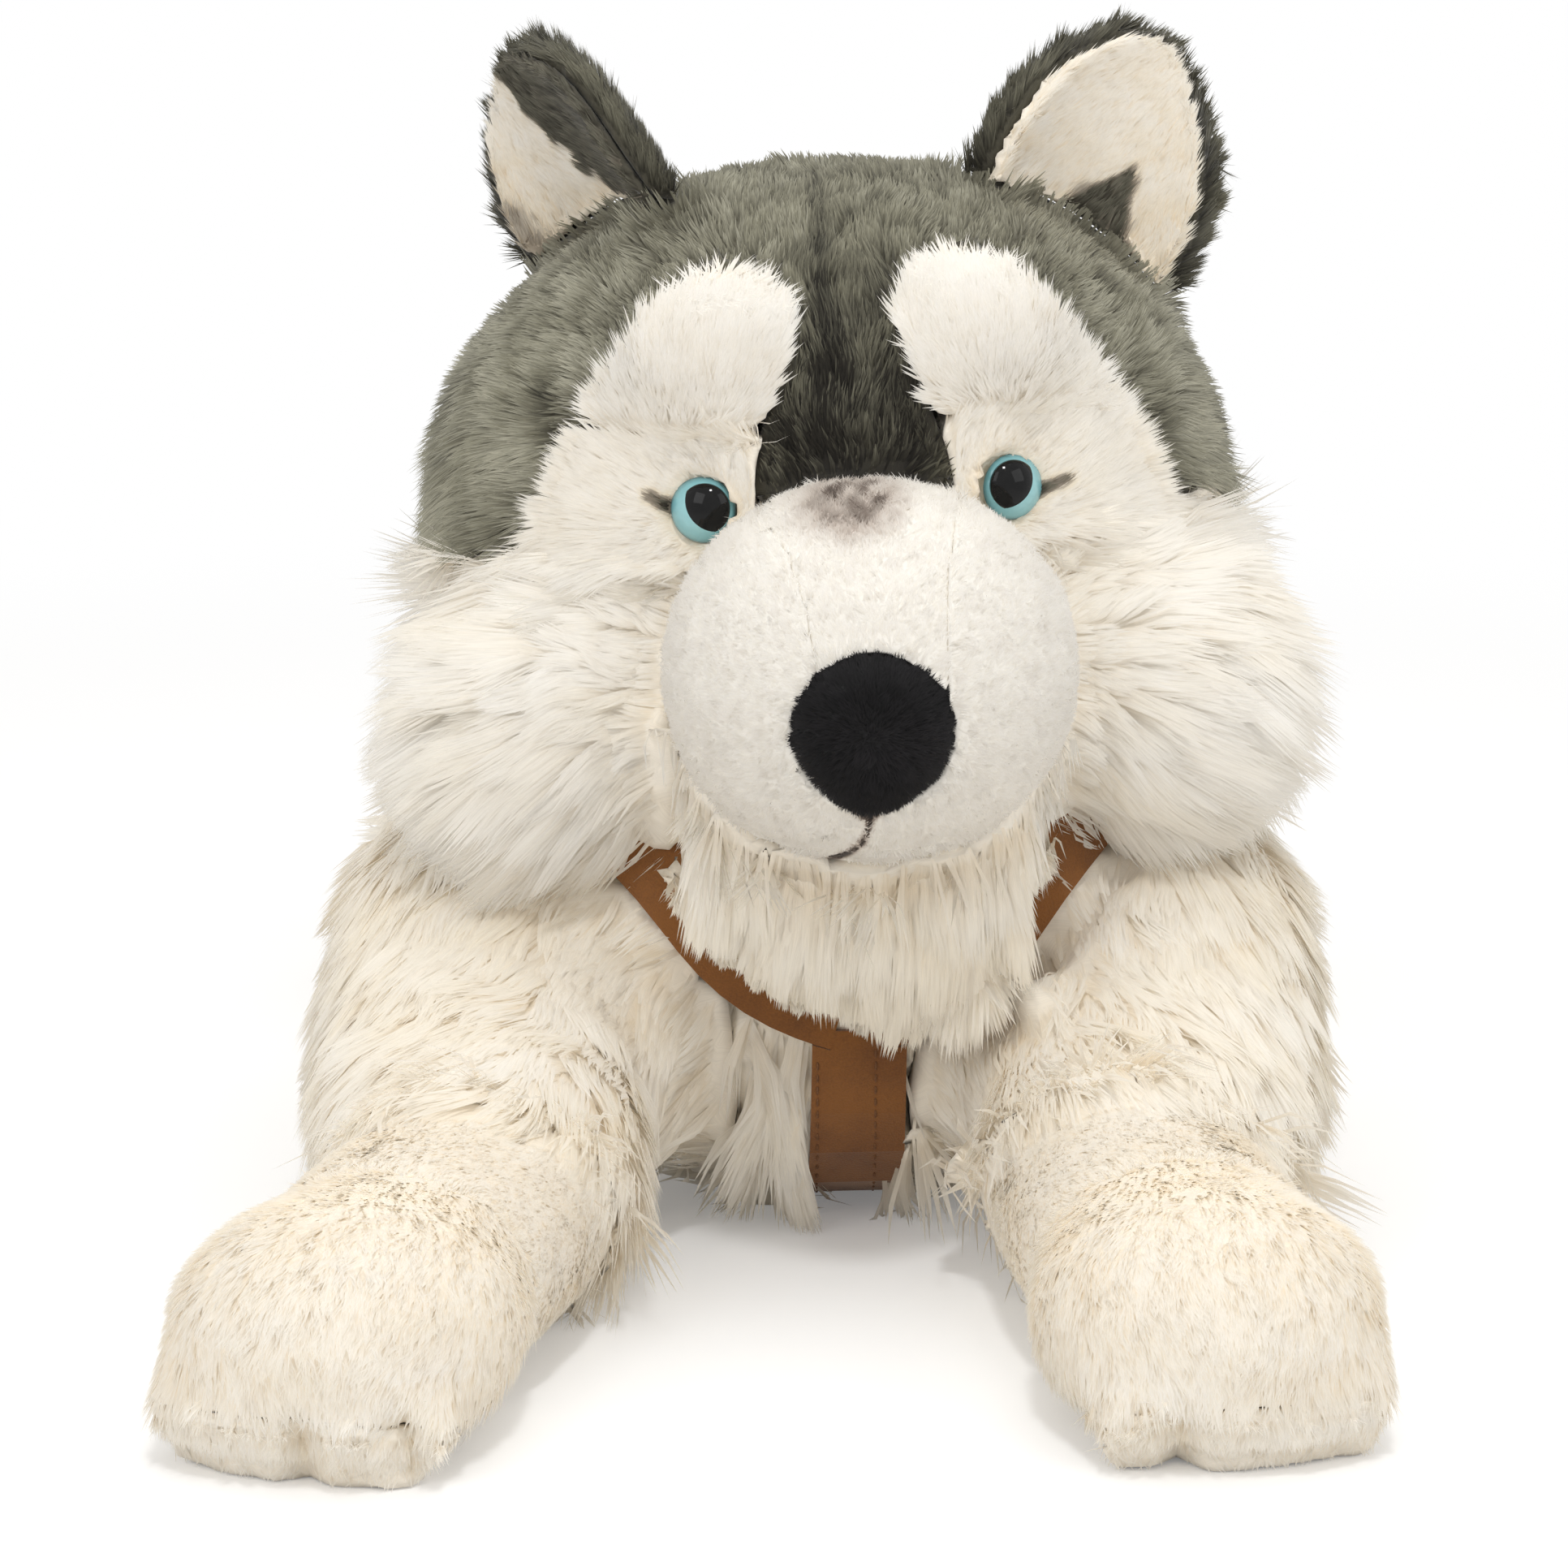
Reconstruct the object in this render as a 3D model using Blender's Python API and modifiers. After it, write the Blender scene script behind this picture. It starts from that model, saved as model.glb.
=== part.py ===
"""Plush husky lying on its chest: a stuffed toy sewn from pile fabric panels, with a strap harness.

Metres, +Z up. The dog looks along -Y and rests on the flat underside of its chest, legs and paws. Its left
side is at +X. The surfaces are the outer skin of the pile. Each sewn panel is a solid of its own, and
SEAM_GAP parts it from its neighbours along the seam.
"""
import math

import bmesh
import bpy
from mathutils import Matrix, Vector
from mathutils.bvhtree import BVHTree

SEAM_GAP = 0.0003
SOFTENING = 0.5
SHARPEST_CORNER = 2.0
SHARP_EDGE = math.radians(40.0)
TURN_SIDES = 12

# Head: a stuffed ball with cheeks, turned and tilted a little on the chest.
HEAD_CENTRE = Vector((0.0, 0.080, 0.203))
HEAD_TURN = math.radians(3.5)
HEAD_TILT = math.radians(-3.5)
HEAD_WIDTH = 0.229
HEAD_DEPTH = 0.174
HEAD_HEIGHT = 0.190
HEAD_FACET = 0.0090
HEAD_SHARE = 0.20
FACE_MIDDLE = 0.0025
CHEEK_SPREAD = 0.067
CHEEK_FORWARD = 0.038
CHEEK_DROP = 0.055
CHEEK_RADII = Vector((0.053, 0.050, 0.048))
BROW_SPREAD = 0.037
BROW_HEIGHT = 0.046
BROW_RADII = Vector((0.027, 0.017, 0.023))
DART_DEPTH = 0.004
DART_WIDTH = 0.010

# Seam between the grey crown and the white face, seen from the front, from the stripe's foot outward.
STRIPE_FOOT = 0.0275
FACE_SEAM = [
    (STRIPE_FOOT, 0.006), (0.0260, 0.018), (0.0185, 0.040), (0.0135, 0.053), (0.0190, 0.062),
    (0.0300, 0.067), (0.0430, 0.065), (0.0540, 0.057), (0.0610, 0.046), (0.0690, 0.031),
    (0.0780, 0.013), (0.0840, -0.002), (0.0950, -0.007), (0.1700, -0.007),
]
# Seam between the crown and the white cheeks, seen from the side, from the temple back and down to the nape.
NAPE_SEAM = [(-0.005, -0.007), (0.025, -0.014), (0.055, -0.045), (0.070, -0.085)]
BROW_SEAM = 0.027
CHEEK_SEAM = -0.010
CROWN_SIDE_REACH = 0.9

# Muzzle: a ball on the face, with a tapering bridge panel, two sides and the lower jaw.
MUZZLE_FORWARD = 0.098
MUZZLE_SHARE = 0.45
MUZZLE_DROP = 0.037
MUZZLE_RADII = Vector((0.0560, 0.056, 0.0520))
BRIDGE_TOP_WIDTH = 0.054
BRIDGE_NOSE_WIDTH = 0.030
JAW_SEAM_DROP = 0.041
NOSE_WIDTH = 0.045
NOSE_HEIGHT = 0.044
NOSE_DEPTH = 0.030
NOSE_DROP = 0.006
NOSE_LIFT = 0.006
NOSE_ASIDE = 0.003
NOSE_FACET = 0.0056
NOSE_SHARE = 0.7

# Eyes: domed caps on shanks, each locked by a washer inside the head.
EYE_SPREAD = 0.042
EYE_HEIGHT = 0.006
EYE_RADIUS = 0.009
EYE_DOME = 0.007
DOME_STEPS = 4
# How far an eye follows the slope of the face across, ahead and up.
EYE_FOLLOWS = Vector((0.5, 1.0, 0.2))
EYE_SEAT_DEPTH = 0.004
SHANK_RADIUS = 0.0025
SHANK_LENGTH = 0.016
WASHER_RADIUS = 0.009
WASHER_THICKNESS = 0.002
WASHER_STANDOFF = 0.009

# Ears: cupped leaves of a grey back and a cream lining. Each side: base, tip, and the way the lining looks.
EAR_LINING = 0.006
EAR_BACK = 0.008
EAR_WIDTH = 0.066
EAR_CUP = 0.30
EAR_ROOT_DEPTH = 0.012
EAR_ROWS = 7
EAR_POINT = 2.6
EAR_BELLY = 0.18
EAR_TIP_SHARE = 0.09
EAR_LEFT = (Vector((0.070, -0.004, 0.062)), Vector((0.098, -0.006, 0.119)), Vector((0.10, -1.0, -0.10)))
EAR_RIGHT = (Vector((-0.054, 0.000, 0.074)), Vector((-0.084, 0.004, 0.123)), Vector((-0.90, -0.80, -0.35)))

# Torso: sections along Y as (y, half width, bottom, top). What lies below the floor is cut off flat.
TORSO_SECTIONS = [
    (0.004, 0.036, 0.034, 0.104), (0.016, 0.068, 0.008, 0.148), (0.045, 0.094, -0.004, 0.184),
    (0.095, 0.111, -0.007, 0.205), (0.160, 0.114, -0.007, 0.207), (0.235, 0.110, -0.007, 0.197),
    (0.300, 0.104, -0.007, 0.184), (0.350, 0.084, -0.004, 0.158), (0.383, 0.046, 0.012, 0.112),
]
TORSO_FULLNESS = 2.3
BODY_FACET = 0.0120
BODY_SHARE = 0.17
# Seam between the grey mantle and the white torso, seen from the side, from the neck back to the rump.
MANTLE_SEAM = [(0.000, 0.150), (0.070, 0.140), (0.180, 0.136), (0.290, 0.118), (0.340, 0.085), (0.500, 0.070)]

# Forelegs: upper sleeve, lower sleeve and paw, each a run of (centre, half width, half height).
LIMB_SIDES = 20
LEG_FACET = 0.0090
LEG_SHARE = 0.27
LEG_TURN_LEFT = math.radians(11.0)
LEG_TURN_RIGHT = math.radians(-17.0)
# Space that the upper sleeve takes from the chest.
SHOULDER = {"left": Vector((0.104, 0.020, 0.040)), "right": Vector((-0.106, 0.014, 0.040))}
SHOULDER_RADII = Vector((0.086, 0.118, 0.098))
UPPER_LEFT = [
    (Vector((0.066, 0.110, 0.098)), 0.050, 0.050), (Vector((0.088, 0.062, 0.072)), 0.055, 0.058),
    (Vector((0.090, 0.012, 0.046)), 0.053, 0.050), (Vector((0.080, -0.034, 0.036)), 0.048, 0.044),
]
UPPER_RIGHT = [
    (Vector((-0.066, 0.110, 0.098)), 0.050, 0.050), (Vector((-0.090, 0.062, 0.072)), 0.055, 0.058),
    (Vector((-0.094, 0.010, 0.046)), 0.053, 0.050), (Vector((-0.090, -0.046, 0.036)), 0.049, 0.044),
]
LOWER_LEFT = [
    (Vector((0.077, -0.020, 0.030)), 0.039, 0.033), (Vector((0.081, -0.062, 0.030)), 0.040, 0.033),
    (Vector((0.088, -0.104, 0.029)), 0.041, 0.032), (Vector((0.093, -0.140, 0.028)), 0.041, 0.031),
]
LOWER_RIGHT = [
    (Vector((-0.089, -0.030, 0.030)), 0.039, 0.033), (Vector((-0.097, -0.072, 0.030)), 0.041, 0.033),
    (Vector((-0.109, -0.114, 0.029)), 0.041, 0.032), (Vector((-0.119, -0.150, 0.028)), 0.042, 0.031),
]
PAW_RADII = Vector((0.047, 0.052, 0.034))
PAW_HEIGHT = 0.028
PAW_SEAM = 0.034
PAW_SPACE = 0.2
TOE_COUNT = 4
TOE_RADIUS = 0.0145
TOE_SPREAD = 0.0200
TOE_FORWARD = 0.040
TOE_HEIGHT = 0.012
TOE_FAN = math.radians(22.0)
SOLE_HEIGHT = 0.004
SOLE_RISE = 0.30

# Hind legs and tail lie along the rump.
THIGH_CENTRE = Vector((0.092, 0.300, 0.062))
THIGH_RADII = Vector((0.044, 0.074, 0.064))
THIGH_MARGIN = 0.004
HIND_PAW_CENTRE = Vector((0.116, 0.214, 0.021))
HIND_PAW_RADII = Vector((0.030, 0.058, 0.025))
HIND_TOE_COUNT = 3
HIND_TOE_SPREAD = 0.0150
HIND_TOE_FORWARD = 0.0464
TAIL_RUN = [
    (Vector((0.006, 0.350, 0.066)), 0.026, 0.026), (Vector((-0.012, 0.392, 0.048)), 0.036, 0.034),
    (Vector((-0.052, 0.420, 0.036)), 0.038, 0.038), (Vector((-0.098, 0.412, 0.031)), 0.033, 0.034),
    (Vector((-0.132, 0.384, 0.025)), 0.020, 0.024),
]
TAIL_TIP_SEAM = -0.088

# Bib: locks that hang from the throat over the chest, with a jagged lower edge.
BIB_CENTRE = Vector((0.009, 0.002, 0.112))
BIB_RADII = Vector((0.064, 0.030, 0.058))
BIB_LOCKS = 7
BIB_LOCK_DROP = 0.009
BIB_FULLNESS = 1.18
BIB_SQUARENESS = 1.25
BIB_SHARE = 0.27
BIB_SPACE = 0.1

# Harness: flat straps with routes over the chest and shoulders, as guide points that are laid on the body.
STRAP_WIDTH = 0.026
STRAP_THICKNESS = 0.0024
STRAP_SINK = 0.0012
STRAP_STEPS = 22
GROOVE_REACH = 0.014
STRAP_MIDDLE = 0.009
CHEST_JOINT = Vector((0.0, -0.010, 0.068))
WITHERS = Vector((0.0, 0.190, 0.210))
SHOULDER_ROUTE = [
    Vector((0.016, -0.010, 0.072)), Vector((0.031, -0.008, 0.081)), Vector((0.044, -0.004, 0.094)),
    Vector((0.056, 0.004, 0.112)), Vector((0.088, 0.036, 0.136)), Vector((0.110, 0.092, 0.152)),
    Vector((0.100, 0.150, 0.176)), Vector((0.050, 0.184, 0.203)),
]
BREAST_ROUTE = [
    Vector((0.0, -0.010, 0.048)), Vector((0.0, 0.006, 0.018)), Vector((0.0, 0.050, -0.010)),
    Vector((0.0, 0.110, -0.010)), Vector((0.0, 0.176, -0.010)),
]
GIRTH_PLACE = 0.186
GIRTH_HEIGHT = 0.098
GIRTH_REACH = 0.4
STRAP_FLOOR = 0.0025

# Colours of the fabrics and of the eye plastic.
FABRICS = {
    "grey_pile": (0.16, 0.17, 0.14),
    "white_pile": (0.86, 0.82, 0.72),
    "cream_pile": (0.80, 0.72, 0.56),
    "white_velour": (0.88, 0.86, 0.80),
    "black_pile": (0.012, 0.012, 0.014),
    "brown_felt": (0.26, 0.11, 0.03),
}
EYE_BLUE = (0.22, 0.50, 0.55)
WASHER_WHITE = (0.80, 0.80, 0.78)


def clear_scene():
    for item in list(bpy.data.objects):
        bpy.data.objects.remove(item)


def new_collection(name):
    collection = bpy.data.collections.new(name)
    bpy.context.scene.collection.children.link(collection)
    return collection


def form(name, bm):
    """Object in the workshop from a bmesh, in flat triangles that every later copy shares."""
    bmesh.ops.triangulate(bm, faces=bm.faces)
    mesh = bpy.data.meshes.new(name)
    bm.to_mesh(mesh)
    bm.free()
    item = bpy.data.objects.new(name, mesh)
    item.display_type = "WIRE"
    item.hide_render = True
    bpy.data.collections["workshop"].objects.link(item)
    return item


def copy_of(item, name):
    twin = bpy.data.objects.new(name, item.data.copy())
    bpy.data.collections["workshop"].objects.link(twin)
    return twin


def bake(item):
    """Apply the object's modifiers to its mesh."""
    graph = bpy.context.evaluated_depsgraph_get()
    mesh = bpy.data.meshes.new_from_object(item.evaluated_get(graph))
    item.modifiers.clear()
    item.data = mesh
    return item


def combine(item, other, operation):
    """Boolean of two closed forms, kept in the first.

    The exact solver leaves cuts through these many-faceted stuffed forms open, so the manifold one makes them.
    """
    modifier = item.modifiers.new("combine", "BOOLEAN")
    modifier.object = other
    modifier.operation = operation
    modifier.solver = "MANIFOLD"
    return bake(item)


def grown(item, distance):
    """Copy whose skin lies the distance further out all round."""
    bm = bmesh.new()
    bm.from_mesh(item.data)
    bm.normal_update()
    moves = [v.normal * (distance * min(v.calc_shell_factor(), SHARPEST_CORNER)) for v in bm.verts]
    for v, move in zip(bm.verts, moves):
        v.co += move
    return form(item.name + "_grown", bm)


def clear_of(item, neighbours, gap=SEAM_GAP):
    """Cut the item back until it stands the gap away from each neighbour."""
    for neighbour in neighbours:
        combine(item, grown(neighbour, gap), "DIFFERENCE")
    return item


def part_off(body, region, name):
    """Take what lies in the region out of the body as a piece, with a seam between the two."""
    piece = combine(copy_of(body, name), region, "INTERSECT")
    combine(body, grown(region, SEAM_GAP), "DIFFERENCE")
    return piece


def fused(parts, facet, rounds=4, share=1.0):
    """One smooth closed form out of overlapping ones, thinned to a share of its facets."""
    bm = bmesh.new()
    for part in parts:
        bm.from_mesh(part.data)
    item = form(parts[0].name + "_fused", bm)
    remesh = item.modifiers.new("skin", "REMESH")
    remesh.mode = "VOXEL"
    remesh.voxel_size = facet
    smooth = item.modifiers.new("soften", "SMOOTH")
    smooth.factor = SOFTENING
    smooth.iterations = rounds
    thin = item.modifiers.new("thin", "DECIMATE")
    thin.ratio = share
    item.modifiers.new("facets", "TRIANGULATE")
    return bake(item)


def ball(name, centre, radii, subdivisions=3):
    bm = bmesh.new()
    bmesh.ops.create_icosphere(bm, subdivisions=subdivisions, radius=1.0)
    bmesh.ops.scale(bm, vec=radii, verts=bm.verts)
    bmesh.ops.translate(bm, vec=centre, verts=bm.verts)
    return form(name, bm)


def prism(name, outline, axis, low, high):
    """Closed outline of (a, b) points pushed along an axis: X takes (y, z), Y (x, z) and Z (x, y)."""
    def place(a, b, depth):
        return {"X": (depth, a, b), "Y": (a, depth, b), "Z": (a, b, depth)}[axis]

    bm = bmesh.new()
    face = bm.faces.new([bm.verts.new(place(a, b, low)) for a, b in outline])
    pushed = bmesh.ops.extrude_face_region(bm, geom=[face])
    moved = [v for v in pushed["geom"] if isinstance(v, bmesh.types.BMVert)]
    bmesh.ops.translate(bm, vec=Vector(place(0.0, 0.0, high - low)), verts=moved)
    bmesh.ops.recalc_face_normals(bm, faces=bm.faces)
    return form(name, bm)


def block(name, low, high):
    outline = [(low[0], low[1]), (high[0], low[1]), (high[0], high[1]), (low[0], high[1])]
    return prism(name, outline, "Z", low[2], high[2])


def ring_loop(bm, points):
    """Closed edge loop through the points."""
    verts = [bm.verts.new(p) for p in points]
    return [bm.edges.new((a, b)) for a, b in zip(verts, verts[1:] + verts[:1])]


def lofted(name, rings):
    """Closed form bridged through rings of points, with fan caps on both ends."""
    bm = bmesh.new()
    loops = [ring_loop(bm, ring) for ring in rings]
    for near, far in zip(loops, loops[1:]):
        bmesh.ops.bridge_loops(bm, edges=near + far)
    bmesh.ops.holes_fill(bm, edges=loops[0] + loops[-1], sides=0)
    bmesh.ops.recalc_face_normals(bm, faces=bm.faces)
    return form(name, bm)


def torso_ring(y, half_width, bottom, top):
    """Superellipse section of the torso."""
    middle = (bottom + top) / 2
    half_height = (top - bottom) / 2
    power = 2.0 / TORSO_FULLNESS
    points = []
    for step in range(LIMB_SIDES * 2):
        angle = math.tau * step / (LIMB_SIDES * 2)
        across = math.copysign(abs(math.cos(angle)) ** power, math.cos(angle))
        up = math.copysign(abs(math.sin(angle)) ** power, math.sin(angle))
        points.append(Vector((half_width * across, y, middle + half_height * up)))
    return points


def limb(name, run):
    """Stuffed limb along a run of stations, with a round end at each end."""
    rings = []
    last = len(run) - 1
    for index, (centre, half_width, half_height) in enumerate(run):
        ahead = run[min(index + 1, last)][0] - run[max(index - 1, 0)][0]
        ahead.normalize()
        across = ahead.cross(Vector((0.0, 0.0, 1.0))).normalized()
        up = across.cross(ahead)
        ring = []
        for step in range(LIMB_SIDES):
            angle = math.tau * step / LIMB_SIDES
            ring.append(centre + across * (half_width * math.cos(angle)) + up * (half_height * math.sin(angle)))
        rings.append(ring)
    tube = lofted(name + "_tube", rings)
    ends = [ball(name + "_end", centre, Vector((half_width, half_width, half_height)))
            for centre, half_width, half_height in (run[0], run[-1])]
    return [tube] + ends


def turned(name, profile):
    """Turned solid about Z from a profile of (radius, height) that runs down its outer side."""
    bm = bmesh.new()
    verts = [bm.verts.new((radius, 0.0, height)) for radius, height in profile]
    for a, b in zip(verts, verts[1:]):
        bm.edges.new((a, b))
    item = form(name, bm)
    screw = item.modifiers.new("turn", "SCREW")
    screw.steps = TURN_SIDES
    screw.render_steps = TURN_SIDES
    screw.use_merge_vertices = True
    screw.merge_threshold = 0.00001
    bake(item)
    bm = bmesh.new()
    bm.from_mesh(item.data)
    bmesh.ops.remove_doubles(bm, verts=bm.verts, dist=0.000001)
    bmesh.ops.recalc_face_normals(bm, faces=bm.faces)
    bm.to_mesh(item.data)
    bm.free()
    return item


def placed(item, matrix):
    item.data.transform(matrix)
    item.data.update()
    return item


def skin_of(item):
    bm = bmesh.new()
    bm.from_mesh(item.data)
    tree = BVHTree.FromBMesh(bm)
    bm.free()
    return tree


def seat(tree, beyond, toward):
    """First point of a skin met on the way from a place outside it, with the outward normal there."""
    hit, normal, _, _ = tree.ray_cast(beyond, toward)
    return hit, normal


def head_frame():
    turn = Matrix.Rotation(HEAD_TURN, 4, "Z") @ Matrix.Rotation(HEAD_TILT, 4, "Y")
    return Matrix.Translation(HEAD_CENTRE) @ turn


def head_form():
    """Skull, cheeks and brows as one stuffed form, with the crown's dart pressed in."""
    skull = ball("skull", Vector(), Vector((HEAD_WIDTH, HEAD_DEPTH, HEAD_HEIGHT)) / 2)
    forms = [skull]
    tree = skin_of(skull)
    for side in (-1, 1):
        cheek = Vector((side * CHEEK_SPREAD, -CHEEK_FORWARD, -CHEEK_DROP))
        forms.append(ball("cheek", cheek, CHEEK_RADII))
        over = Vector((FACE_MIDDLE + side * BROW_SPREAD, -HEAD_DEPTH, BROW_HEIGHT))
        brow, _ = seat(tree, over, Vector((0.0, 1.0, 0.0)))
        forms.append(ball("brow", brow, BROW_RADII))
    head = fused(forms, HEAD_FACET, share=HEAD_SHARE)
    dart_top = HEAD_HEIGHT / 2
    for v in head.data.vertices:
        aside = (v.co.x - FACE_MIDDLE) / DART_WIDTH
        if v.co.y < 0.0 and v.co.z > BROW_SEAM:
            v.co += Vector((0.0, 1.0, -1.0)) * (DART_DEPTH * math.exp(-aside * aside) * v.co.z / dart_top)
    return head


def crown_region():
    """Space of the grey crown: behind the face seam in front, above the nape seam at the sides."""
    reach = HEAD_WIDTH
    edge = [(FACE_MIDDLE - x, z) for x, z in reversed(FACE_SEAM)] + [(FACE_MIDDLE + x, z) for x, z in FACE_SEAM]
    front = edge + [(FACE_MIDDLE + reach, reach), (FACE_MIDDLE - reach, reach)]
    region = prism("crown_front", front, "Y", -reach, -NAPE_SEAM[0][0])
    half = reach * CROWN_SIDE_REACH
    side = NAPE_SEAM + [(NAPE_SEAM[-1][0], -reach), (reach, -reach), (reach, reach), (NAPE_SEAM[0][0], reach)]
    return combine(region, prism("crown_side", side, "X", -half, half), "UNION")


def eye_parts(side, tree):
    """Eye with its shank, washer and the pocket that both need in the head, in the head's frame."""
    start = Vector((FACE_MIDDLE + side * EYE_SPREAD, -HEAD_DEPTH, EYE_HEIGHT))
    point, normal = seat(tree, start, Vector((0.0, 1.0, 0.0)))
    dome = []
    for step in range(DOME_STEPS + 1):
        angle = math.pi / 2 * step / DOME_STEPS
        dome.append((EYE_RADIUS * math.sin(angle), EYE_DOME * math.cos(angle)))
    back = -WASHER_THICKNESS / 2
    tail = back - SHANK_LENGTH
    eye = turned("eye", dome + [(EYE_RADIUS, back), (SHANK_RADIUS, back), (SHANK_RADIUS, tail), (0.0, tail)])
    top = back - WASHER_STANDOFF
    under = top - WASHER_THICKNESS
    bore = SHANK_RADIUS + SEAM_GAP
    rim = [(WASHER_RADIUS, top), (WASHER_RADIUS, under), (bore, under), (bore, top), (WASHER_RADIUS, top)]
    washer = turned("washer", rim)
    disc = turned("disc", [(0.0, top), (WASHER_RADIUS, top), (WASHER_RADIUS, under), (0.0, under)])
    facing = (normal * EYE_FOLLOWS).normalized()
    frame = facing.to_track_quat("Z", "Y").to_matrix().to_4x4()
    frame = Matrix.Translation(point - facing * EYE_SEAT_DEPTH) @ frame
    return [placed(item, frame) for item in (eye, washer, disc)]


def muzzle_parts(head):
    """Muzzle panels and nose, in the head's frame; the head is cut back behind them."""
    centre = Vector((FACE_MIDDLE, -MUZZLE_FORWARD, -MUZZLE_DROP))
    whole = fused([ball("muzzle", centre, MUZZLE_RADII)], HEAD_FACET, 2, MUZZLE_SHARE)
    outer = copy_of(whole, "muzzle_outer")
    front = centre.y - MUZZLE_RADII.y
    nose_depth = front + NOSE_DEPTH / 2 - NOSE_LIFT
    nose_centre = Vector((FACE_MIDDLE - NOSE_ASIDE, nose_depth, centre.z - NOSE_DROP))
    nose = ball("nose", nose_centre, Vector((NOSE_WIDTH, NOSE_DEPTH, NOSE_HEIGHT)) / 2)
    nose = fused([nose], NOSE_FACET, 2, NOSE_SHARE)
    combine(head, grown(whole, SEAM_GAP), "DIFFERENCE")
    combine(whole, grown(nose, SEAM_GAP), "DIFFERENCE")
    top, tip = BRIDGE_TOP_WIDTH / 2, BRIDGE_NOSE_WIDTH / 2
    back = centre.y + MUZZLE_RADII.y
    plan = [(-top, back), (-top, centre.y), (-tip, front), (-tip, front - NOSE_DEPTH)]
    plan = [(centre.x + x, y) for x, y in plan] + [(centre.x - x, y) for x, y in reversed(plan)]
    bridge = part_off(whole, prism("bridge", plan, "Z", nose_centre.z, HEAD_HEIGHT), "muzzle_bridge")
    far = HEAD_WIDTH
    jaw_top = centre.z - JAW_SEAM_DROP
    jaw = part_off(whole, block("jaw", (-far, -far, -far), (far, far, jaw_top)), "lower_jaw")
    left = part_off(whole, block("half", (nose_centre.x, -far, -far), (far, far, far)), "muzzle_side_left")
    whole.name = "muzzle_side_right"
    return [bridge, jaw, left, whole, nose], outer


def ear_leaf(name, ear, inner, outer):
    """Layer of a cupped ear between two depths behind the lining's face."""
    base, tip, looks = ear
    up = (tip - base).normalized()
    facing = (looks - up * looks.dot(up)).normalized()
    across = up.cross(facing)
    length = (tip - base).length + EAR_ROOT_DEPTH
    root = base - up * EAR_ROOT_DEPTH
    bm = bmesh.new()
    grids = []
    for depth in (inner, outer):
        grid = []
        for row in range(EAR_ROWS):
            rise = row / (EAR_ROWS - 1)
            belly = 1.0 - EAR_BELLY + EAR_BELLY * math.sin(math.pi * rise)
            swell = math.sqrt(max(1.0 - rise ** EAR_POINT, 0.0)) * belly
            half = max(EAR_WIDTH / 2 * swell, EAR_WIDTH * EAR_TIP_SHARE)
            line = []
            for column in range(EAR_ROWS):
                share = 2.0 * column / (EAR_ROWS - 1) - 1.0
                angle = share * half * (math.pi * EAR_CUP) / (EAR_WIDTH / 2)
                radius = EAR_WIDTH / 2 / (math.pi * EAR_CUP)
                sideways = math.sin(angle) * (radius + depth)
                deep = (1.0 - math.cos(angle)) * radius - math.cos(angle) * depth
                place = root + up * (length * rise) + across * sideways + facing * deep
                line.append(bm.verts.new(place))
            grid.append(line)
        grids.append(grid)
    for grid in grids:
        for near, far in zip(grid, grid[1:]):
            for column in range(EAR_ROWS - 1):
                bm.faces.new((near[column], near[column + 1], far[column + 1], far[column]))
    edges = [e for e in bm.edges if e.is_boundary]
    bmesh.ops.bridge_loops(bm, edges=edges)
    bmesh.ops.recalc_face_normals(bm, faces=bm.faces)
    return form(name, bm)


def floor_cut(item, height=0.0):
    """Remove what lies below a height, which leaves a flat underside."""
    bm = bmesh.new()
    bm.from_mesh(item.data)
    cut = bmesh.ops.bisect_plane(bm, geom=bm.verts[:] + bm.edges[:] + bm.faces[:], plane_co=(0, 0, height),
                                 plane_no=(0, 0, 1), clear_inner=True)
    rim = [e for e in cut["geom_cut"] if isinstance(e, bmesh.types.BMEdge)]
    bmesh.ops.holes_fill(bm, edges=rim, sides=0)
    bmesh.ops.recalc_face_normals(bm, faces=bm.faces)
    bm.to_mesh(item.data)
    bm.free()
    return item


def smooth_route(points, steps):
    """Catmull-Rom curve through the points."""
    route = []
    padded = [points[0] * 2 - points[1]] + list(points) + [points[-1] * 2 - points[-2]]
    spans = len(points) - 1
    for step in range(steps + 1):
        place = min(step / steps * spans, spans - 1e-6)
        index = int(place)
        t = place - index
        a, b, c, d = padded[index:index + 4]
        route.append(0.5 * ((2 * b) + (c - a) * t + (2 * a - 5 * b + 4 * c - d) * t * t
                            + (3 * b - a - 3 * c + d) * t * t * t))
    return route


def strap_route(points, side, steps):
    """Smooth strap route on one side of the harness's middle line, which drifts to the spine at the back."""
    middles = [STRAP_MIDDLE * max(1.0 - max(p.y, 0.0) / WITHERS.y, 0.0) for p in points]
    placed_points = [Vector((middle + side * p.x, p.y, p.z)) for p, middle in zip(points, middles)]
    return smooth_route(placed_points, steps)


def softened(points, closed, rounds=2):
    """Points with the kinks between them evened out; the ends of an open run stay."""
    for _ in range(rounds):
        before = points[-1:] + points[:-1] if closed else points[:1] + points[:-1]
        after = points[1:] + points[:1] if closed else points[1:] + points[-1:]
        points = [(a + 2 * b + c) / 4 for a, b, c in zip(before, points, after)]
    return points


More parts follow.
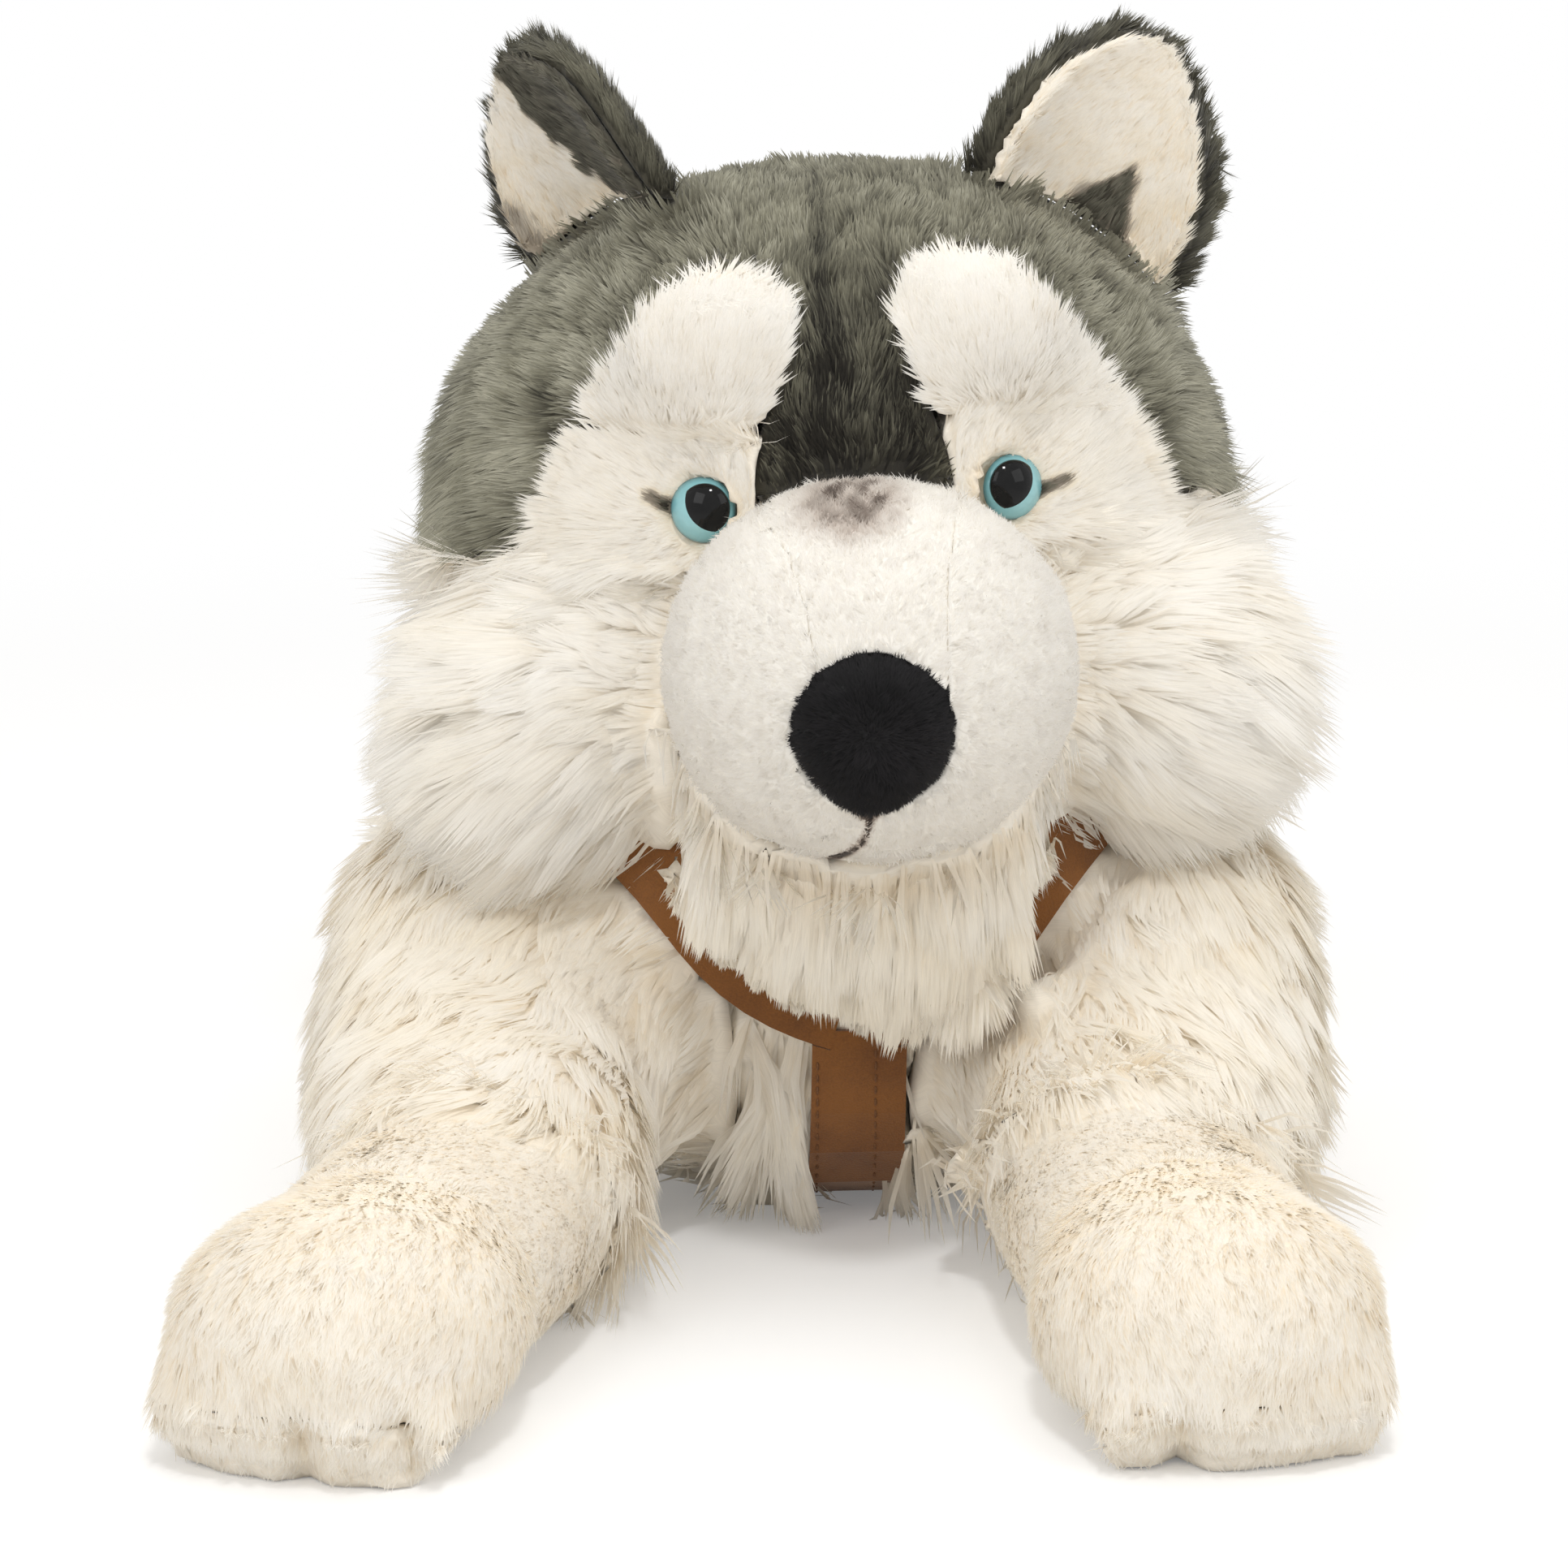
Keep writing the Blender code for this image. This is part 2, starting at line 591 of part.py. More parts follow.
def strap_band(name, points, tree, closed, low, high, margin=0.0):
    """Band along points laid on a skin, from a low to a high offset of it, wider by a margin on both edges."""
    count = len(points)
    laid = [tree.find_nearest(point) for point in points]
    middle = softened([near for near, _, _, _ in laid], closed)
    normals = softened([normal for _, normal, _, _ in laid], closed)
    tangents = []
    for index in range(count):
        before = middle[(index - 1) % count if closed else max(index - 1, 0)]
        after = middle[(index + 1) % count if closed else min(index + 1, count - 1)]
        tangents.append((after - before).normalized())
    edges = []
    for side in (-1, 1):
        edge = []
        for place, tangent, normal in zip(middle, tangents, normals):
            across = tangent.cross(normal).normalized()
            edge.append(tree.find_nearest(place + across * (side * STRAP_WIDTH / 2))[0])
        edges.append(softened(edge, closed))
    bm = bmesh.new()
    loops = []
    for left, right, tangent in zip(edges[0], edges[1], tangents):
        across = (right - left).normalized()
        up = across.cross(tangent).normalized()
        near, far = left - across * margin, right + across * margin
        loops.append(ring_loop(bm, [near + up * low, far + up * low, far + up * high, near + up * high]))
    pairs = list(zip(loops, loops[1:]))
    if closed:
        pairs.append((loops[-1], loops[0]))
    for near, far in pairs:
        bmesh.ops.bridge_loops(bm, edges=near + far)
    if not closed:
        bmesh.ops.holes_fill(bm, edges=loops[0] + loops[-1], sides=0)
    bmesh.ops.recalc_face_normals(bm, faces=bm.faces)
    return form(name, bm)


def girth_points(tree):
    """Points round the torso behind the forelegs."""
    centre = Vector((0.0, GIRTH_PLACE, GIRTH_HEIGHT))
    points = []
    for step in range(STRAP_STEPS * 2):
        angle = math.tau * step / (STRAP_STEPS * 2)
        toward = Vector((math.cos(angle), 0.0, math.sin(angle)))
        point, _, _, _ = tree.ray_cast(centre + toward * GIRTH_REACH, -toward)
        points.append(point)
    return points


def bib_form():
    """Bulging tongue of locks with a jagged hem."""
    hem = []
    for point in range(BIB_LOCKS * 2 + 1):
        angle = math.pi * point / (BIB_LOCKS * 2)
        notch = BIB_LOCK_DROP if point % 2 == 0 else 0.0
        across = math.copysign(abs(math.cos(angle)) ** BIB_SQUARENESS, -math.cos(angle))
        aside = BIB_CENTRE.x + (BIB_RADII.x - notch) * across
        hem.append((aside, BIB_CENTRE.z - (BIB_RADII.z - notch) * math.sin(angle)))
    top = BIB_CENTRE.z + BIB_RADII.z
    outline = hem + [(hem[-1][0], top), (hem[0][0], top)]
    body = fused([ball("bib", BIB_CENTRE, BIB_RADII * BIB_FULLNESS)], BODY_FACET, 2, BIB_SHARE)
    return combine(body, prism("bib_outline", outline, "Y", -BIB_SPACE, BIB_SPACE), "INTERSECT")


def thigh_centre(side):
    return Vector((side * THIGH_CENTRE.x, THIGH_CENTRE.y, THIGH_CENTRE.z))


def foreleg_form(run, heading):
    """Lower sleeve, paw and toes of a foreleg as one stuffed form."""
    end = run[-1][0]
    ahead = Vector((math.sin(heading), -math.cos(heading), 0.0))
    across = Vector((math.cos(heading), math.sin(heading), 0.0))
    forms = limb("sleeve", run)
    paw = Vector((end.x, end.y, PAW_HEIGHT))
    turn = Matrix.Rotation(heading, 4, "Z")
    forms.append(placed(ball("paw", Vector(), PAW_RADII), Matrix.Translation(paw) @ turn))
    for toe in range(TOE_COUNT):
        place = toe - (TOE_COUNT - 1) / 2
        fan = TOE_FAN * place
        reach = ahead * (TOE_FORWARD * math.cos(fan)) + across * (TOE_SPREAD * place)
        centre = Vector((end.x, end.y, TOE_HEIGHT)) + reach
        forms.append(ball("toe", centre, Vector((TOE_RADIUS, TOE_RADIUS, TOE_RADIUS))))
    return forms, paw, ahead


def largest_body(item):
    """Drop the crumbs that cuts leave beside the one large body."""
    bm = bmesh.new()
    bm.from_mesh(item.data)
    islands = []
    unseen = set(bm.faces)
    while unseen:
        stack = [unseen.pop()]
        island = set(stack)
        while stack:
            face = stack.pop()
            for edge in face.edges:
                across = edge.link_faces if len(edge.link_faces) == 2 else []
                for other in across:
                    if other in unseen:
                        unseen.discard(other)
                        island.add(other)
                        stack.append(other)
        islands.append(island)
    islands.sort(key=lambda faces: sum(f.calc_area() for f in faces), reverse=True)
    crumbs = [face for island in islands[1:] for face in island]
    bmesh.ops.delete(bm, geom=crumbs, context="FACES")
    bm.to_mesh(item.data)
    bm.free()
    return item


def material(name, colour, roughness=0.95):
    made = bpy.data.materials.new(name)
    made.use_nodes = True
    shader = made.node_tree.nodes["Principled BSDF"]
    shader.inputs["Base Color"].default_value = (*colour, 1.0)
    shader.inputs["Roughness"].default_value = roughness
    shader.inputs["Metallic"].default_value = 0.0
    return made


def build_head():
    """All head pieces by name, and the whole head and muzzle that the body gives way to."""
    head = head_form()
    outer = copy_of(head, "head_outer")
    tree = skin_of(head)
    pieces = {}
    for side, name in ((-1, "right"), (1, "left")):
        eye, washer, disc = eye_parts(side, tree)
        pieces["eye_" + name] = eye
        pieces["eye_washer_" + name] = washer
        clear_of(head, [eye, disc])
    (bridge, jaw, left, right, nose), muzzle_outer = muzzle_parts(head)
    pieces.update({"muzzle_bridge": bridge, "lower_jaw": jaw, "muzzle_side_left": left,
                   "muzzle_side_right": right, "nose": nose})
    far = HEAD_WIDTH
    ears = []
    for name, ear in (("left", EAR_LEFT), ("right", EAR_RIGHT)):
        lining = ear_leaf("ear_lining_" + name, ear, 0.0, EAR_LINING)
        back = ear_leaf("ear_back_" + name, ear, EAR_LINING + SEAM_GAP, EAR_LINING + EAR_BACK)
        pieces["ear_lining_" + name] = lining
        pieces["ear_back_" + name] = back
        ears += [lining, back]
    for item in ears:
        clear_of(item, [outer])
    pieces["head_crown"] = part_off(head, crown_region(), "head_crown")
    for name, low, high in (("right", -far, FACE_MIDDLE), ("left", FACE_MIDDLE, far)):
        brow = block("brow_space", (low, -far, BROW_SEAM), (high, far, far))
        pieces["brow_" + name] = part_off(head, brow, "brow_" + name)
        face = block("face_space", (low, -far, CHEEK_SEAM), (high, far, far))
        pieces["face_" + name] = part_off(head, face, "face_" + name)
    cheek = block("cheek_space", (FACE_MIDDLE, -far, -far), (far, far, far))
    pieces["cheek_left"] = part_off(head, cheek, "cheek_left")
    pieces["cheek_right"] = head
    frame = head_frame()
    outers = [outer, muzzle_outer]
    for item in list(pieces.values()) + outers:
        placed(item, frame)
    return pieces, outers


def build_harness(torso, overhangs):
    """Harness straps laid on the torso by name, and the solid that each needs free of fur, by strap name."""
    skin = skin_of(floor_cut(torso, STRAP_FLOOR))
    shoulder = [CHEST_JOINT] + SHOULDER_ROUTE + [WITHERS]
    routes = {
        "shoulder_strap_left": strap_route(shoulder, 1, STRAP_STEPS),
        "shoulder_strap_right": strap_route(shoulder, -1, STRAP_STEPS),
        "breast_strap": strap_route([CHEST_JOINT] + BREAST_ROUTE, 1, STRAP_STEPS // 2),
        "girth_strap": girth_points(skin),
    }
    low, high = -STRAP_SINK, STRAP_THICKNESS - STRAP_SINK
    straps, sheaths, grooves = {}, {}, {}
    for name, points in routes.items():
        closed = name == "girth_strap"
        straps[name] = strap_band(name, points, skin, closed, low, high)
        sheaths[name] = strap_band("sheath", points, skin, closed, low - SEAM_GAP, high + SEAM_GAP, SEAM_GAP)
        grooves[name] = strap_band("groove", points, skin, closed, low - SEAM_GAP, GROOVE_REACH, SEAM_GAP)
    far = 1.0
    for name, side in (("shoulder_strap_left", 1), ("shoulder_strap_right", -1)):
        front = STRAP_MIDDLE + side * SEAM_GAP / 2
        back = side * SEAM_GAP / 2
        middle_line = [(front, -far), (front, 0.0), (back, WITHERS.y), (back, far)]
        plan = middle_line + [(side * far, far), (side * far, -far)]
        combine(straps[name], prism("strap_side", plan, "Z", -far, far), "INTERSECT")
        combine(straps[name], sheaths["girth_strap"], "DIFFERENCE")
        combine(straps["breast_strap"], sheaths[name], "DIFFERENCE")
    combine(straps["breast_strap"], sheaths["girth_strap"], "DIFFERENCE")
    for piece in overhangs:
        for sheath in sheaths.values():
            combine(piece, sheath, "DIFFERENCE")
    return straps, sheaths, grooves


def build_foreleg(run, heading):
    """Lower sleeve, paw and sole of a foreleg, and the whole form that the body gives way to."""
    forms, paw, ahead = foreleg_form(run, heading)
    leg = floor_cut(fused(forms, LEG_FACET, 3, LEG_SHARE))
    outer = copy_of(leg, "leg_outer")
    turn = Matrix.Rotation(heading, 4, "Z")
    far = PAW_SPACE
    reach = block("paw_space", (-far, -far, -far), (far, 0.0, far))
    placed(reach, Matrix.Translation(paw - ahead * PAW_SEAM) @ turn)
    front = part_off(leg, reach, "forepaw")
    under = block("sole_space", (-far, -far, -far), (far, far, 0.0))
    tilt = Matrix.Rotation(-math.atan(SOLE_RISE), 4, "X")
    placed(under, Matrix.Translation(Vector((paw.x, paw.y, SOLE_HEIGHT))) @ turn @ tilt)
    sole = part_off(front, under, "forepaw_sole")
    return {"lower_foreleg": leg, "forepaw": front, "forepaw_sole": sole}, outer


def build_hind_paw(side):
    """Hind paw with its toes, lying along the belly."""
    centre = Vector((side * HIND_PAW_CENTRE.x, HIND_PAW_CENTRE.y, HIND_PAW_CENTRE.z))
    forms = [ball("hind", centre, HIND_PAW_RADII)]
    for toe in range(HIND_TOE_COUNT):
        place = toe - (HIND_TOE_COUNT - 1) / 2
        tip = centre + Vector((place * HIND_TOE_SPREAD, -HIND_TOE_FORWARD, TOE_HEIGHT - centre.z))
        forms.append(ball("toe", tip, Vector((TOE_RADIUS, TOE_RADIUS, TOE_RADIUS))))
    return floor_cut(fused(forms, LEG_FACET, 2, LEG_SHARE))


def build_body(heads, overhangs):
    """Torso, mantle, legs, tail, bib and harness in the world frame, by name."""
    far = 1.0
    torso = lofted("torso_form", [torso_ring(*section) for section in TORSO_SECTIONS])
    thighs = [ball("thigh", thigh_centre(side), THIGH_RADII) for side in (1, -1)]
    forms = [torso] + limb("upper_left", UPPER_LEFT) + limb("upper_right", UPPER_RIGHT) + thighs
    whole = floor_cut(fused(forms, BODY_FACET, 5, BODY_SHARE))
    body = copy_of(whole, "torso")
    straps, sheaths, grooves = build_harness(fused([torso], BODY_FACET, 5), overhangs)
    pieces = dict(straps)
    for groove in grooves.values():
        combine(body, groove, "DIFFERENCE")
    clear_of(body, heads)

    for name, run, heading in (("left", LOWER_LEFT, LEG_TURN_LEFT), ("right", LOWER_RIGHT, LEG_TURN_RIGHT)):
        leg, outer = build_foreleg(run, heading)
        for kind, item in leg.items():
            pieces[kind + "_" + name] = item
        clear_of(body, [outer])
        region = ball("sleeve_space", SHOULDER[name], SHOULDER_RADII, 2)
        pieces["upper_foreleg_" + name] = part_off(body, region, "upper_foreleg_" + name)

    for name, side in (("left", 1), ("right", -1)):
        region = grown(ball("thigh_space", thigh_centre(side), THIGH_RADII, 2), THIGH_MARGIN)
        pieces["hind_thigh_" + name] = part_off(body, region, "hind_thigh_" + name)
        pieces["hind_paw_" + name] = clear_of(build_hind_paw(side), [whole])

    tail = floor_cut(fused(limb("tail", TAIL_RUN), LEG_FACET, 3, LEG_SHARE))
    clear_of(tail, [whole])
    tip = block("tip_space", (-far, -far, -far), (TAIL_TIP_SEAM, far, far))
    pieces["tail_tip"] = part_off(tail, tip, "tail_tip")
    pieces["tail"] = tail

    front, back = MANTLE_SEAM[0], MANTLE_SEAM[-1]
    seam = MANTLE_SEAM + [(back[0], far), (-far, far), (-far, front[1])]
    pieces["mantle"] = part_off(body, prism("mantle_space", seam, "X", -far, far), "mantle")
    pieces["torso"] = body

    bib = clear_of(bib_form(), [whole] + heads)
    for sheath in sheaths.values():
        combine(bib, sheath, "DIFFERENCE")
    pieces["bib"] = bib
    return pieces


def dress(pieces):
    """Name, colour and shade the finished solids."""
    fabric_of = {
        "grey_pile": ("head_crown", "ear_back", "mantle", "tail"),
        "white_pile": ("brow", "face", "cheek", "bib", "torso", "upper_foreleg", "hind_thigh", "tail_tip"),
        "cream_pile": ("lower_foreleg", "forepaw", "hind_paw", "ear_lining"),
        "white_velour": ("muzzle", "lower_jaw", "forepaw_sole"),
        "black_pile": ("nose",),
        "brown_felt": ("shoulder_strap", "breast_strap", "girth_strap"),
        "eye_plastic": ("eye",),
        "washer_plastic": ("eye_washer",),
    }
    made = {name: material(name, colour) for name, colour in FABRICS.items()}
    made["eye_plastic"] = material("eye_plastic", EYE_BLUE, 0.05)
    made["washer_plastic"] = material("washer_plastic", WASHER_WHITE, 0.5)
    shelf = bpy.data.collections["plush_husky"]
    for name, item in pieces.items():
        matches = [(len(start), fabric) for fabric, starts in fabric_of.items() for start in starts
                   if name.startswith(start)]
        item.name = name
        item.data.name = name
        item.data.materials.clear()
        item.data.materials.append(made[max(matches)[1]])
        item.data.shade_smooth()
        item.data.set_sharp_from_angle(angle=SHARP_EDGE)
        item.hide_render = False
        item.display_type = "TEXTURED"
        shelf.objects.link(item)


def stand_on_origin(pieces):
    """Move all pieces so that the origin is the middle of the box's underside."""
    corners = [v.co for item in pieces.values() for v in item.data.vertices]
    low = Vector([min(c[axis] for c in corners) for axis in range(3)])
    high = Vector([max(c[axis] for c in corners) for axis in range(3)])
    shift = Matrix.Translation(-Vector(((low.x + high.x) / 2, (low.y + high.y) / 2, low.z)))
    for item in pieces.values():
        placed(item, shift)


def main():
    clear_scene()
    new_collection("plush_husky")
    new_collection("workshop")
    pieces, heads = build_head()
    overhangs = [pieces["cheek_left"], pieces["cheek_right"], pieces["head_crown"]]
    pieces.update(build_body(heads, overhangs))
    for item in pieces.values():
        largest_body(item)
    stand_on_origin(pieces)
    workshop = bpy.data.collections["workshop"]
    for item in pieces.values():
        workshop.objects.unlink(item)
    for item in list(workshop.objects):
        bpy.data.objects.remove(item)
    dress(pieces)


main()
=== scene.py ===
# %% [markdown]
# # A plush husky, from its backing fabric to its eyes
# A stuffed toy is sewn from panels of pile fabric: a woven backing with thousands of fibres standing on it.
# The camera sees hardly any backing. It sees fibres, the way they lie, how they gather into locks, and how
# their tips are paler than their roots. So most of this lesson is about growing pile on the CAD panels.

# %% Load the frame
import math

import bmesh
import bpy
import numpy as np
from mathutils import Matrix, Vector, kdtree
from mathutils.bvhtree import BVHTree


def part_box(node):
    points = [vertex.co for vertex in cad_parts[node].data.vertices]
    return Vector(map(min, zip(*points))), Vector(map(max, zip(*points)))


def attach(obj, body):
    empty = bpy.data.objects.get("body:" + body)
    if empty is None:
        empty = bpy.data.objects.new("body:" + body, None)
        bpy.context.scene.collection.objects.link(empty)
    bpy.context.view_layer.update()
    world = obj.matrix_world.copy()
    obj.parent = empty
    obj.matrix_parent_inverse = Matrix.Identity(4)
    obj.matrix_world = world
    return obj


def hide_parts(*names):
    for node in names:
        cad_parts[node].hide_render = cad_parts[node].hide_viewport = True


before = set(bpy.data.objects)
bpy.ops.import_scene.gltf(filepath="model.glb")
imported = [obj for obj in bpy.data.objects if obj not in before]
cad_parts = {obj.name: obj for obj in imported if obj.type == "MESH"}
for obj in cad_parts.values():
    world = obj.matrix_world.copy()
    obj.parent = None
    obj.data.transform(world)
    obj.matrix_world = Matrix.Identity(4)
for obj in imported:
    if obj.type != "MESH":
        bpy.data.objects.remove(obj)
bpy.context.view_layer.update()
print("panels and fittings in the frame:", len(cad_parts))

# %% [markdown]
# ## Camera, floor and light
# The picture is a studio shot: the toy lies on white, seen from the front and a little above, under large
# soft lamps. A long lens from 1.4 m keeps the perspective mild. The floor and the world are white to the
# camera, and the lamps stay at a plain level, so that white pile keeps its cream shadows and doesn't clip.

# %% Small helpers
def placed(name, data):
    """New object of the scene that carries some data."""
    item = bpy.data.objects.new(name, data)
    bpy.context.scene.collection.objects.link(item)
    return item


def mesh_of(bm, name):
    """Mesh made from a bmesh, which is freed."""
    mesh = bpy.data.meshes.new(name)
    bm.to_mesh(mesh)
    bm.free()
    return mesh


def put(tree, made, **inputs):
    """Set the sockets of a shader node by name; a value that is a socket is linked."""
    for name, value in inputs.items():
        socket = made.inputs[name.replace("_", " ")]
        if isinstance(value, bpy.types.NodeSocket):
            tree.links.new(value, socket)
        else:
            socket.default_value = value
    return made


def node(tree, kind, **inputs):
    """New shader node with some of its sockets set."""
    return put(tree, tree.nodes.new(kind), **inputs)


def join(tree, kind, first, second, **inputs):
    """Shader that adds or mixes two shaders."""
    made = node(tree, kind, **inputs)
    shaders = [socket for socket in made.inputs if socket.type == "SHADER"]
    tree.links.new(first.outputs[0], shaders[0])
    tree.links.new(second.outputs[0], shaders[1])
    return made


def new_material(name):
    """New material, its node tree and its shader."""
    made = bpy.data.materials.new(name)
    made.use_nodes = True
    return made, made.node_tree, made.node_tree.nodes["Principled BSDF"]

# %% Camera
PHOTO_WIDTH, PHOTO_HEIGHT = 1932, 1908
PHOTO_CENTRE = Vector((0.0011, -0.1261, 0.1344))
CAMERA_DISTANCE = 1.40
CAMERA_RISE = math.radians(12.0)
LENS = 118.6
SENSOR = 36.0

look = Vector((0.0, math.cos(CAMERA_RISE), -math.sin(CAMERA_RISE)))
right_hand = look.cross(Vector((0.0, 0.0, 1.0))).normalized()
upward = right_hand.cross(look)
pixel_slope = SENSOR / LENS / PHOTO_WIDTH
camera = placed("camera", bpy.data.cameras.new("camera"))
camera.location = PHOTO_CENTRE - look * CAMERA_DISTANCE
camera.rotation_euler = look.to_track_quat("-Z", "Y").to_euler()
camera.data.lens = LENS
camera.data.sensor_width = SENSOR
bpy.context.scene.camera = camera
bpy.context.scene.view_settings.view_transform = "Standard"

# %% Floor, world and lamps
FLOOR_SIZE = 12.0
FLOOR_COLOUR = (0.88, 0.88, 0.88, 1.0)
FLOOR_GLOW = 0.16
PURE_WHITE = (1.0, 1.0, 1.0, 1.0)
WARM_WHITE = (1.0, 0.985, 0.965, 1.0)
FLOOR_NEAR, FLOOR_FAR = 0.45, 1.10
WORLD_LIGHT = 0.56
LAMPS = [
    ("lamp_left", Vector((-1.3, -1.5, 1.3)), 1.3, 9.0),
    ("lamp_right", Vector((1.5, -1.1, 1.1)), 1.3, 6.0),
    ("lamp_top", Vector((0.1, 0.3, 1.9)), 1.6, 10.8),
    ("lamp_window", Vector((0.05, -0.85, 1.55)), 0.17, 6.6),
]
LAMP_AIM = Vector((0.0, -0.05, 0.12))


def camera_sees(tree):
    """Factor that is 1 for what the camera, a gloss or a clear surface looks at."""
    path = tree.nodes.new("ShaderNodeLightPath")
    total = path.outputs["Is Camera Ray"]
    for name in ("Is Glossy Ray", "Is Transmission Ray"):
        either = tree.nodes.new("ShaderNodeMath")
        either.operation = "MAXIMUM"
        tree.links.new(total, either.inputs[0])
        tree.links.new(path.outputs[name], either.inputs[1])
        total = either.outputs[0]
    return total


def make_floor():
    """Paper that lights the toy from below, and that fades to pure white away from it."""
    bm = bmesh.new()
    bmesh.ops.create_grid(bm, x_segments=1, y_segments=1, size=FLOOR_SIZE / 2)
    floor = placed("floor", mesh_of(bm, "floor"))
    paper, tree, shader = new_material("white_paper")
    put(tree, shader, Base_Color=FLOOR_COLOUR, Roughness=1.0, Specular_IOR_Level=0.0)
    glow = node(tree, "ShaderNodeEmission", Color=PURE_WHITE, Strength=FLOOR_GLOW)
    white = node(tree, "ShaderNodeEmission", Color=PURE_WHITE, Strength=1.0)
    place = tree.nodes.new("ShaderNodeTexCoord").outputs["Object"]
    length = tree.nodes.new("ShaderNodeVectorMath")
    length.operation = "LENGTH"
    tree.links.new(place, length.inputs[0])
    fade = node(tree, "ShaderNodeMapRange", Value=length.outputs["Value"],
                From_Min=FLOOR_NEAR, From_Max=FLOOR_FAR)
    fade.interpolation_type = "SMOOTHSTEP"
    near = join(tree, "ShaderNodeAddShader", shader, glow)
    far = join(tree, "ShaderNodeMixShader", near, white, Fac=fade.outputs["Result"])
    seen = join(tree, "ShaderNodeMixShader", shader, far, Fac=camera_sees(tree))
    tree.links.new(seen.outputs[0], tree.nodes["Material Output"].inputs["Surface"])
    floor.data.materials.append(paper)


def make_world():
    """Soft light from all round, which looks pure white."""
    world = bpy.data.worlds.new("studio")
    bpy.context.scene.world = world
    world.use_nodes = True
    tree = world.node_tree
    light = put(tree, tree.nodes["Background"], Color=WARM_WHITE, Strength=WORLD_LIGHT)
    white = node(tree, "ShaderNodeBackground", Color=PURE_WHITE, Strength=1.0)
    seen = join(tree, "ShaderNodeMixShader", light, white, Fac=camera_sees(tree))
    tree.links.new(seen.outputs[0], tree.nodes["World Output"].inputs["Surface"])


def make_lamps():
    """Square lamps that all look at the toy."""
    for name, place, size, power in LAMPS:
        lamp = bpy.data.lights.new(name, "AREA")
        lamp.size = size
        lamp.energy = power
        item = placed(name, lamp)
        item.location = place
        item.rotation_euler = (LAMP_AIM - place).to_track_quat("-Z", "Y").to_euler()


make_floor()
make_world()
make_lamps()
print("studio: floor, world and", len(LAMPS), "lamps")

# %% [markdown]
# ## Finding places on the toy
# Seams, brushed-on colour and stitches sit at places that the photograph shows. A ray from the camera through
# such a pixel meets the CAD panels where the real detail lies, and everything else is measured from boxes of
# the CAD nodes.

# %% Rays and boxes
MM = 0.001
SIDES = ("left", "right")


def search_tree(names):
    """Tree that finds the nearest or the first hit point of some CAD nodes."""
    verts, faces = [], []
    for name in names:
        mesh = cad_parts[name].data
        start = len(verts)
        verts += [v.co.copy() for v in mesh.vertices]
        faces += [[start + index for index in face.vertices] for face in mesh.polygons]
    return BVHTree.FromPolygons(verts, faces)


def gap_to(tree, points):
    """Distance from each point to the nodes of a search tree."""
    return np.array([tree.find_nearest(Vector(point))[3] for point in points])


all_names = sorted(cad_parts)
whole_toy = search_tree(all_names)
straps = search_tree([name for name in all_names if "strap" in name])


def at_pixel(x, y):
    """Point of the CAD model that a pixel of the photograph looks at."""
    across = right_hand * ((x - PHOTO_WIDTH / 2) * pixel_slope)
    ray = look + across + upward * ((PHOTO_HEIGHT / 2 - y) * pixel_slope)
    return whole_toy.ray_cast(camera.location, ray.normalized())[0]


def pixel_of(points):
    """Pixels of the photograph that points lie on."""
    offset = points - np.array(camera.location)
    depth = offset @ np.array(look)
    x = PHOTO_WIDTH / 2 + offset @ np.array(right_hand) / depth / pixel_slope
    y = PHOTO_HEIGHT / 2 - offset @ np.array(upward) / depth / pixel_slope
    return x, y


def pixel_gap(points, *lines):
    """Distance, in pixels of the photograph, from points to the nearest of some lines of pixels."""
    x, y = pixel_of(points)
    gap = np.full(len(points), 1e6)
    for line in lines:
        for (ax, ay), (bx, by) in zip(line, line[1:]):
            run = (bx - ax, by - ay)
            share = ((x - ax) * run[0] + (y - ay) * run[1]) / (run[0] ** 2 + run[1] ** 2)
            share = np.clip(share, 0.0, 1.0)
            gap = np.minimum(gap, np.hypot(x - ax - share * run[0], y - ay - share * run[1]))
    return gap


def middle_of(*names):
    """Middle of the boxes of some nodes."""
    lows, highs = zip(*[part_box(name) for name in names])
    low = Vector([min(c[i] for c in lows) for i in range(3)])
    high = Vector([max(c[i] for c in highs) for i in range(3)])
    return (low + high) / 2


muzzle_centre = middle_of("muzzle_bridge", "muzzle_side_left", "muzzle_side_right", "lower_jaw")
nose_centre = middle_of("nose")
head_centre = middle_of("head_crown", "cheek_left", "cheek_right")
eyes = {}
for side in SIDES:
    low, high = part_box("eye_" + side)
    eyes[side] = Vector(((low.x + high.x) / 2, low.y, (low.z + high.z) / 2))
print("muzzle at", [round(c, 3) for c in muzzle_centre])
print("head at", [round(c, 3) for c in head_centre])

# %% [markdown]
# ## Backing
# Each panel's backing is a copy of its CAD solid, evened out with a fine voxel remesh, smoothed, and sunk on
# its open side by part of the pile's height, because the CAD surface is the outside of the pile. A face is
# open when a short ray from it meets no other panel. Longer rays tell how much of the sky a face sees, so
# that little pile is spent where nobody can look.

# %% Sunken backing
SEAM_REACH = 1.4 * MM
SKY_REACH = 70.0 * MM
SKY_RAYS = 9
LEAST_SHARE = 0.06
FLOOR_REST = 1.5 * MM
FLOOR_LIFT = 0.3 * MM


def bake(item):
    """Apply an object's modifiers and give back the mesh."""
    graph = bpy.context.evaluated_depsgraph_get()
    mesh = bpy.data.meshes.new_from_object(item.evaluated_get(graph))
    bpy.data.objects.remove(item)
    return mesh


